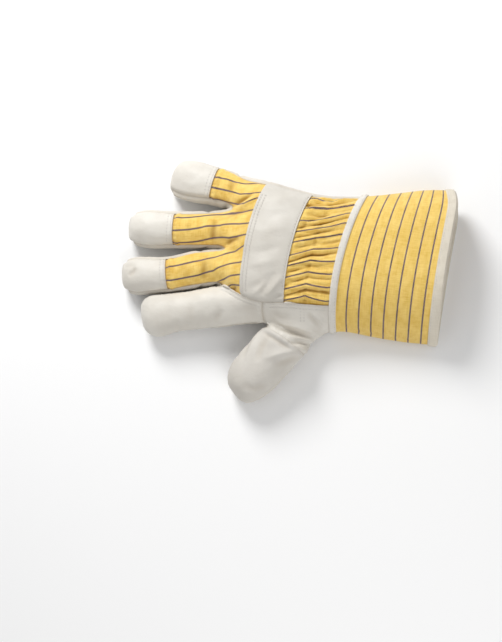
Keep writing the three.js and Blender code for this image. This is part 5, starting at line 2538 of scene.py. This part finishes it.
@dataclass
class Studio:
    """A pale floor, soft light from all round with a larger light from the side, and the camera."""
    target: Vector = field(default_factory=lambda: Vector((-0.0319, -0.0335, 0.0028)))
    turn: float = 8.0
    lean: float = 10.0
    distance: float = 1.2
    pixels_per_metre: float = 1220.0
    picture_height: float = 642.0
    sensor: float = 36.0
    floor_size: float = 3.0
    floor_grey: float = 0.90
    surround: float = 0.36

    def build(self) -> None:
        """Build the floor, lights and camera."""
        self.build_camera()
        self.build_floor()
        self.build_lights()

    def build_camera(self) -> None:
        """Place the camera above the glove, a little toward the cuff and the thumb."""
        turn, lean = math.radians(self.turn), math.radians(self.lean)
        back = Vector((math.sin(turn) * math.cos(lean), -math.sin(lean), math.cos(turn) * math.cos(lean)))
        right = Vector((0, 1, 0)).cross(back).normalized()
        up = back.cross(right)
        camera = bpy.data.objects.new("camera", bpy.data.cameras.new("camera"))
        focal = self.pixels_per_metre * self.distance
        camera.data.sensor_width = self.sensor
        camera.data.lens = self.sensor * focal / self.picture_height
        camera.rotation_mode = "QUATERNION"
        camera.location = self.target + back * self.distance
        camera.rotation_quaternion = Matrix((right, up, back)).transposed().to_quaternion()
        bpy.context.scene.collection.objects.link(camera)
        bpy.context.scene.camera = camera

    def build_floor(self) -> None:
        """Lay the pale floor."""
        bm = bmesh.new()
        bmesh.ops.create_grid(bm, x_segments=1, y_segments=1, size=self.floor_size)
        floor = bpy.data.objects.new("floor", mesh_of(bm, "floor"))
        bpy.context.scene.collection.objects.link(floor)
        made = Material("floor")
        grey = (*[self.floor_grey] * 3, 1.0)
        made.fill(made.shader, Base_Color=grey, Roughness=0.9, Specular_IOR_Level=0.1)
        floor.data.materials.append(made.material)

    def build_lights(self) -> None:
        """Light the glove from all round, more from the little finger's side."""
        world = bpy.data.worlds.new("studio")
        bpy.context.scene.world = world
        world.use_nodes = True
        surround = world.node_tree.nodes["Background"]
        surround.inputs["Color"].default_value = (1.0, 1.0, 1.0, 1.0)
        surround.inputs["Strength"].default_value = self.surround
        for lamp in LAMPS:
            lamp.build()
        bpy.context.scene.view_settings.view_transform = "Standard"
        bpy.context.scene.view_settings.look = "None"


# Two short rows of stitches across the side leather, in plan
SIDE_TACKS = (((12.3, -30.5), (11.7, -39.1)), ((15.1, -30.5), (14.4, -39.1)))


@dataclass
class Glove:
    """The whole glove, in millimetres."""

    sizes: GloveSizes = field(default_factory=GloveSizes)
    stitch_pitch: float = 2.7
    welt_rows: tuple[float, ...] = (-1.6, 1.6)
    welt_top: float = 1.40
    binding_row: float = 5.3
    binding_top: float = 1.08
    tack_pitch: float = 2.4
    above: float = 60

    def __post_init__(self) -> None:
        """Build the skin and the materials."""
        self.skin = Skin(Cage(self.sizes))
        log.info("skin: %d faces", len(self.skin.mesh.polygons))
        grain, weave, soil = grain_group(), weave_group(), soil_group()
        self.leather_back = LEATHER_BACK.material(grain, soil)
        self.leather_strap = LEATHER_STRAP.material(grain, soil)
        self.leather_palm = LEATHER_PALM.material(grain, soil)
        self.leather_thumb = LEATHER_THUMB.material(grain, soil)
        self.cotton = COTTON.material(weave, soil)
        self.canvas = CANVAS.material(weave, soil)
        self.welt_tape = WELT_TAPE.material(weave, soil)
        self.edge_tape = EDGE_TAPE.material(weave, soil)
        self.thread = THREAD.material(weave, soil)
        self.maker = PanelMaker(self.skin, self.sizes)
        self.covers = CoverMaker(self.skin, self.maker)

    def build(self) -> None:
        """Build every piece."""
        self.build_panels()
        self.build_covers()
        self.build_tapes()
        self.build_stitches()

    def build_panels(self) -> None:
        """Cut the panels of leather, cotton and canvas."""
        palm, back = self.leather_palm, self.leather_back
        panels = (
            (Panel.PALM_LEATHER, "palm_panel", "palm_leather", "palm_leather", palm),
            (Panel.FINGER_FRONTS, "finger_fronts", "palm_leather", "palm_leather", palm),
            (Panel.SIDE_PANEL, "side_leather", "side_panel", "back_leather", back),
            (Panel.INDEX_BACK, "index_leather", "index_back", "back_leather", back),
            (Panel.THUMB_OUTER, "thumb_back", "thumb_outer", "back_leather", self.leather_thumb),
            (Panel.THUMB_INNER, "thumb_front", "thumb_inner", "palm_leather", palm),
            (Panel.MIDDLE_TIP, "middle_cap", "middle_tip", "back_leather", back),
            (Panel.RING_TIP, "ring_cap", "ring_tip", "back_leather", back),
            (Panel.LITTLE_TIP, "little_cap", "little_tip", "back_leather", back),
            (Panel.BACK_COTTON, "cotton_back", "back_cotton", "striped_cotton", self.cotton),
            (Panel.CUFF, "canvas_cuff", "cuff", "striped_canvas", self.canvas),
        )
        for panel, name, node, slot, material in panels:
            self.maker.make(panel, Piece(name, (node,), slot, material))

    def build_covers(self) -> None:
        """Lay the knuckle strap and the palm patch on the skin."""
        strap = Piece("strap", ("knuckle_strap",), "back_leather", self.leather_strap)
        self.covers.make(Cover.KNUCKLE_STRAP, STRAP_FOLDS, strap)
        patch = Piece("patch", ("palm_patch",), "palm_leather", self.leather_palm)
        self.covers.make(Cover.PALM_PATCH, PATCH_FOLDS, patch)

    def build_tapes(self) -> None:
        """Sweep the welt round the wrist seam and the binding round the cuff's mouth."""
        tree = tree_of(self.skin.mesh, self.skin.places)
        wrist, mouth = self.wrist_line(), self.mouth_line()
        welt = Tape(WELT_PROFILE, tree, Vector((1, 0, 0)))
        welt.make(wrist, Piece("welt", ("wrist_welt",), "white_tape", self.welt_tape))
        binding = Tape(BINDING_PROFILE, tree, Vector((-1, 0, 0)))
        binding.make(mouth, Piece("binding", ("cuff_binding",), "edge_binding", self.edge_tape))
        along_wrist = resampled([*wrist, wrist[0]], self.stitch_pitch)[:-1]
        along_mouth = resampled([*mouth, mouth[0]], self.stitch_pitch)[:-1]
        stitches = Stitches()
        for distance in self.welt_rows:
            stitches.add_rows(welt.stitches(along_wrist, distance, self.welt_top))
        stitches.add_rows(binding.stitches(along_mouth, self.binding_row, self.binding_top))
        stitches.make(Piece("tape_stitches", (), "white_tape", self.thread))

    def closed_line(self, edges: Iterable[tuple[int, int]]) -> Line:
        """The closed line that some edges of the skin make, in the tapes' steps.

        Args:
            edges: Pairs of point numbers.

        Returns:
            Its places, without the first repeated.
        """
        places = [Vector(self.skin.places[point]) for point in chained(edges)[0]]
        return resampled(places, TAPE_STEP)[:-1]

    def wrist_line(self) -> Line:
        """The line of the seam between the hand and the cuff."""
        pairs = [pair for pair in self.skin.lines if Panel.CUFF in pair]
        chains = [chain for pair in pairs for chain in self.skin.lines[pair]]
        return self.closed_line([edge for chain in chains for edge in zip(chain, chain[1:])])

    def mouth_line(self) -> Line:
        """The line round the cuff's mouth, where each edge has one face.

        Returns:
            Its places, without the first repeated.
        """
        counts: dict[tuple[int, int], int] = {}
        for polygon in self.skin.mesh.polygons:
            for key in polygon.edge_keys:
                counts[key] = counts.get(key, 0) + 1
        return self.closed_line([key for key, count in counts.items() if count == 1])

    def build_stitches(self) -> None:
        """Sew the rows of stitches."""
        for cover, name in ((Cover.KNUCKLE_STRAP, "strap_stitches"), (Cover.PALM_PATCH, "patch_stitches")):
            stitches = Stitches()
            for row in COVER_ROWS[cover]:
                stitches.add_rows(row.lay(self.covers.edges[cover], self.covers.trees[cover]))
            stitches.make(Piece(name, (), "white_tape", self.thread))
        seams = Stitches()
        for leather in SEWN_DOWN:
            chains = self.skin.lines.get(frozenset((leather, Panel.BACK_COTTON)), [])
            places = self.maker.shifted(leather)
            edges = [[Vector(places[point]) for point in chain] for chain in chains]
            for inset in SEAM_ROWS:
                seams.add_rows(StitchRow(inset).lay(edges, self.maker.trees[leather]))
        seams.add_rows(self.side_tacks())
        seams.make(Piece("seam_stitches", (), "white_tape", self.thread))

    def side_tacks(self) -> list[list[Stitch]]:
        """The short rows of stitches across the side leather.

        Returns:
            The rows.
        """
        rows = []
        for start, end in SIDE_TACKS:
            line = [Vector((*start, self.above)), Vector((*end, self.above))]
            row = []
            for place in resampled(line, self.tack_pitch):
                found, normal, _, _ = self.maker.trees[Panel.SIDE_PANEL].ray_cast(place, Vector((0, 0, -1)))
                if found is not None:
                    row.append((found, line[1] - line[0], normal))
            rows.append(row)
        return rows


def main() -> None:
    """Build the studio and the glove."""
    logging.basicConfig(level=logging.INFO, format="%(message)s")
    Studio().build()
    Glove().build()


if __name__ == "__main__":
    main()
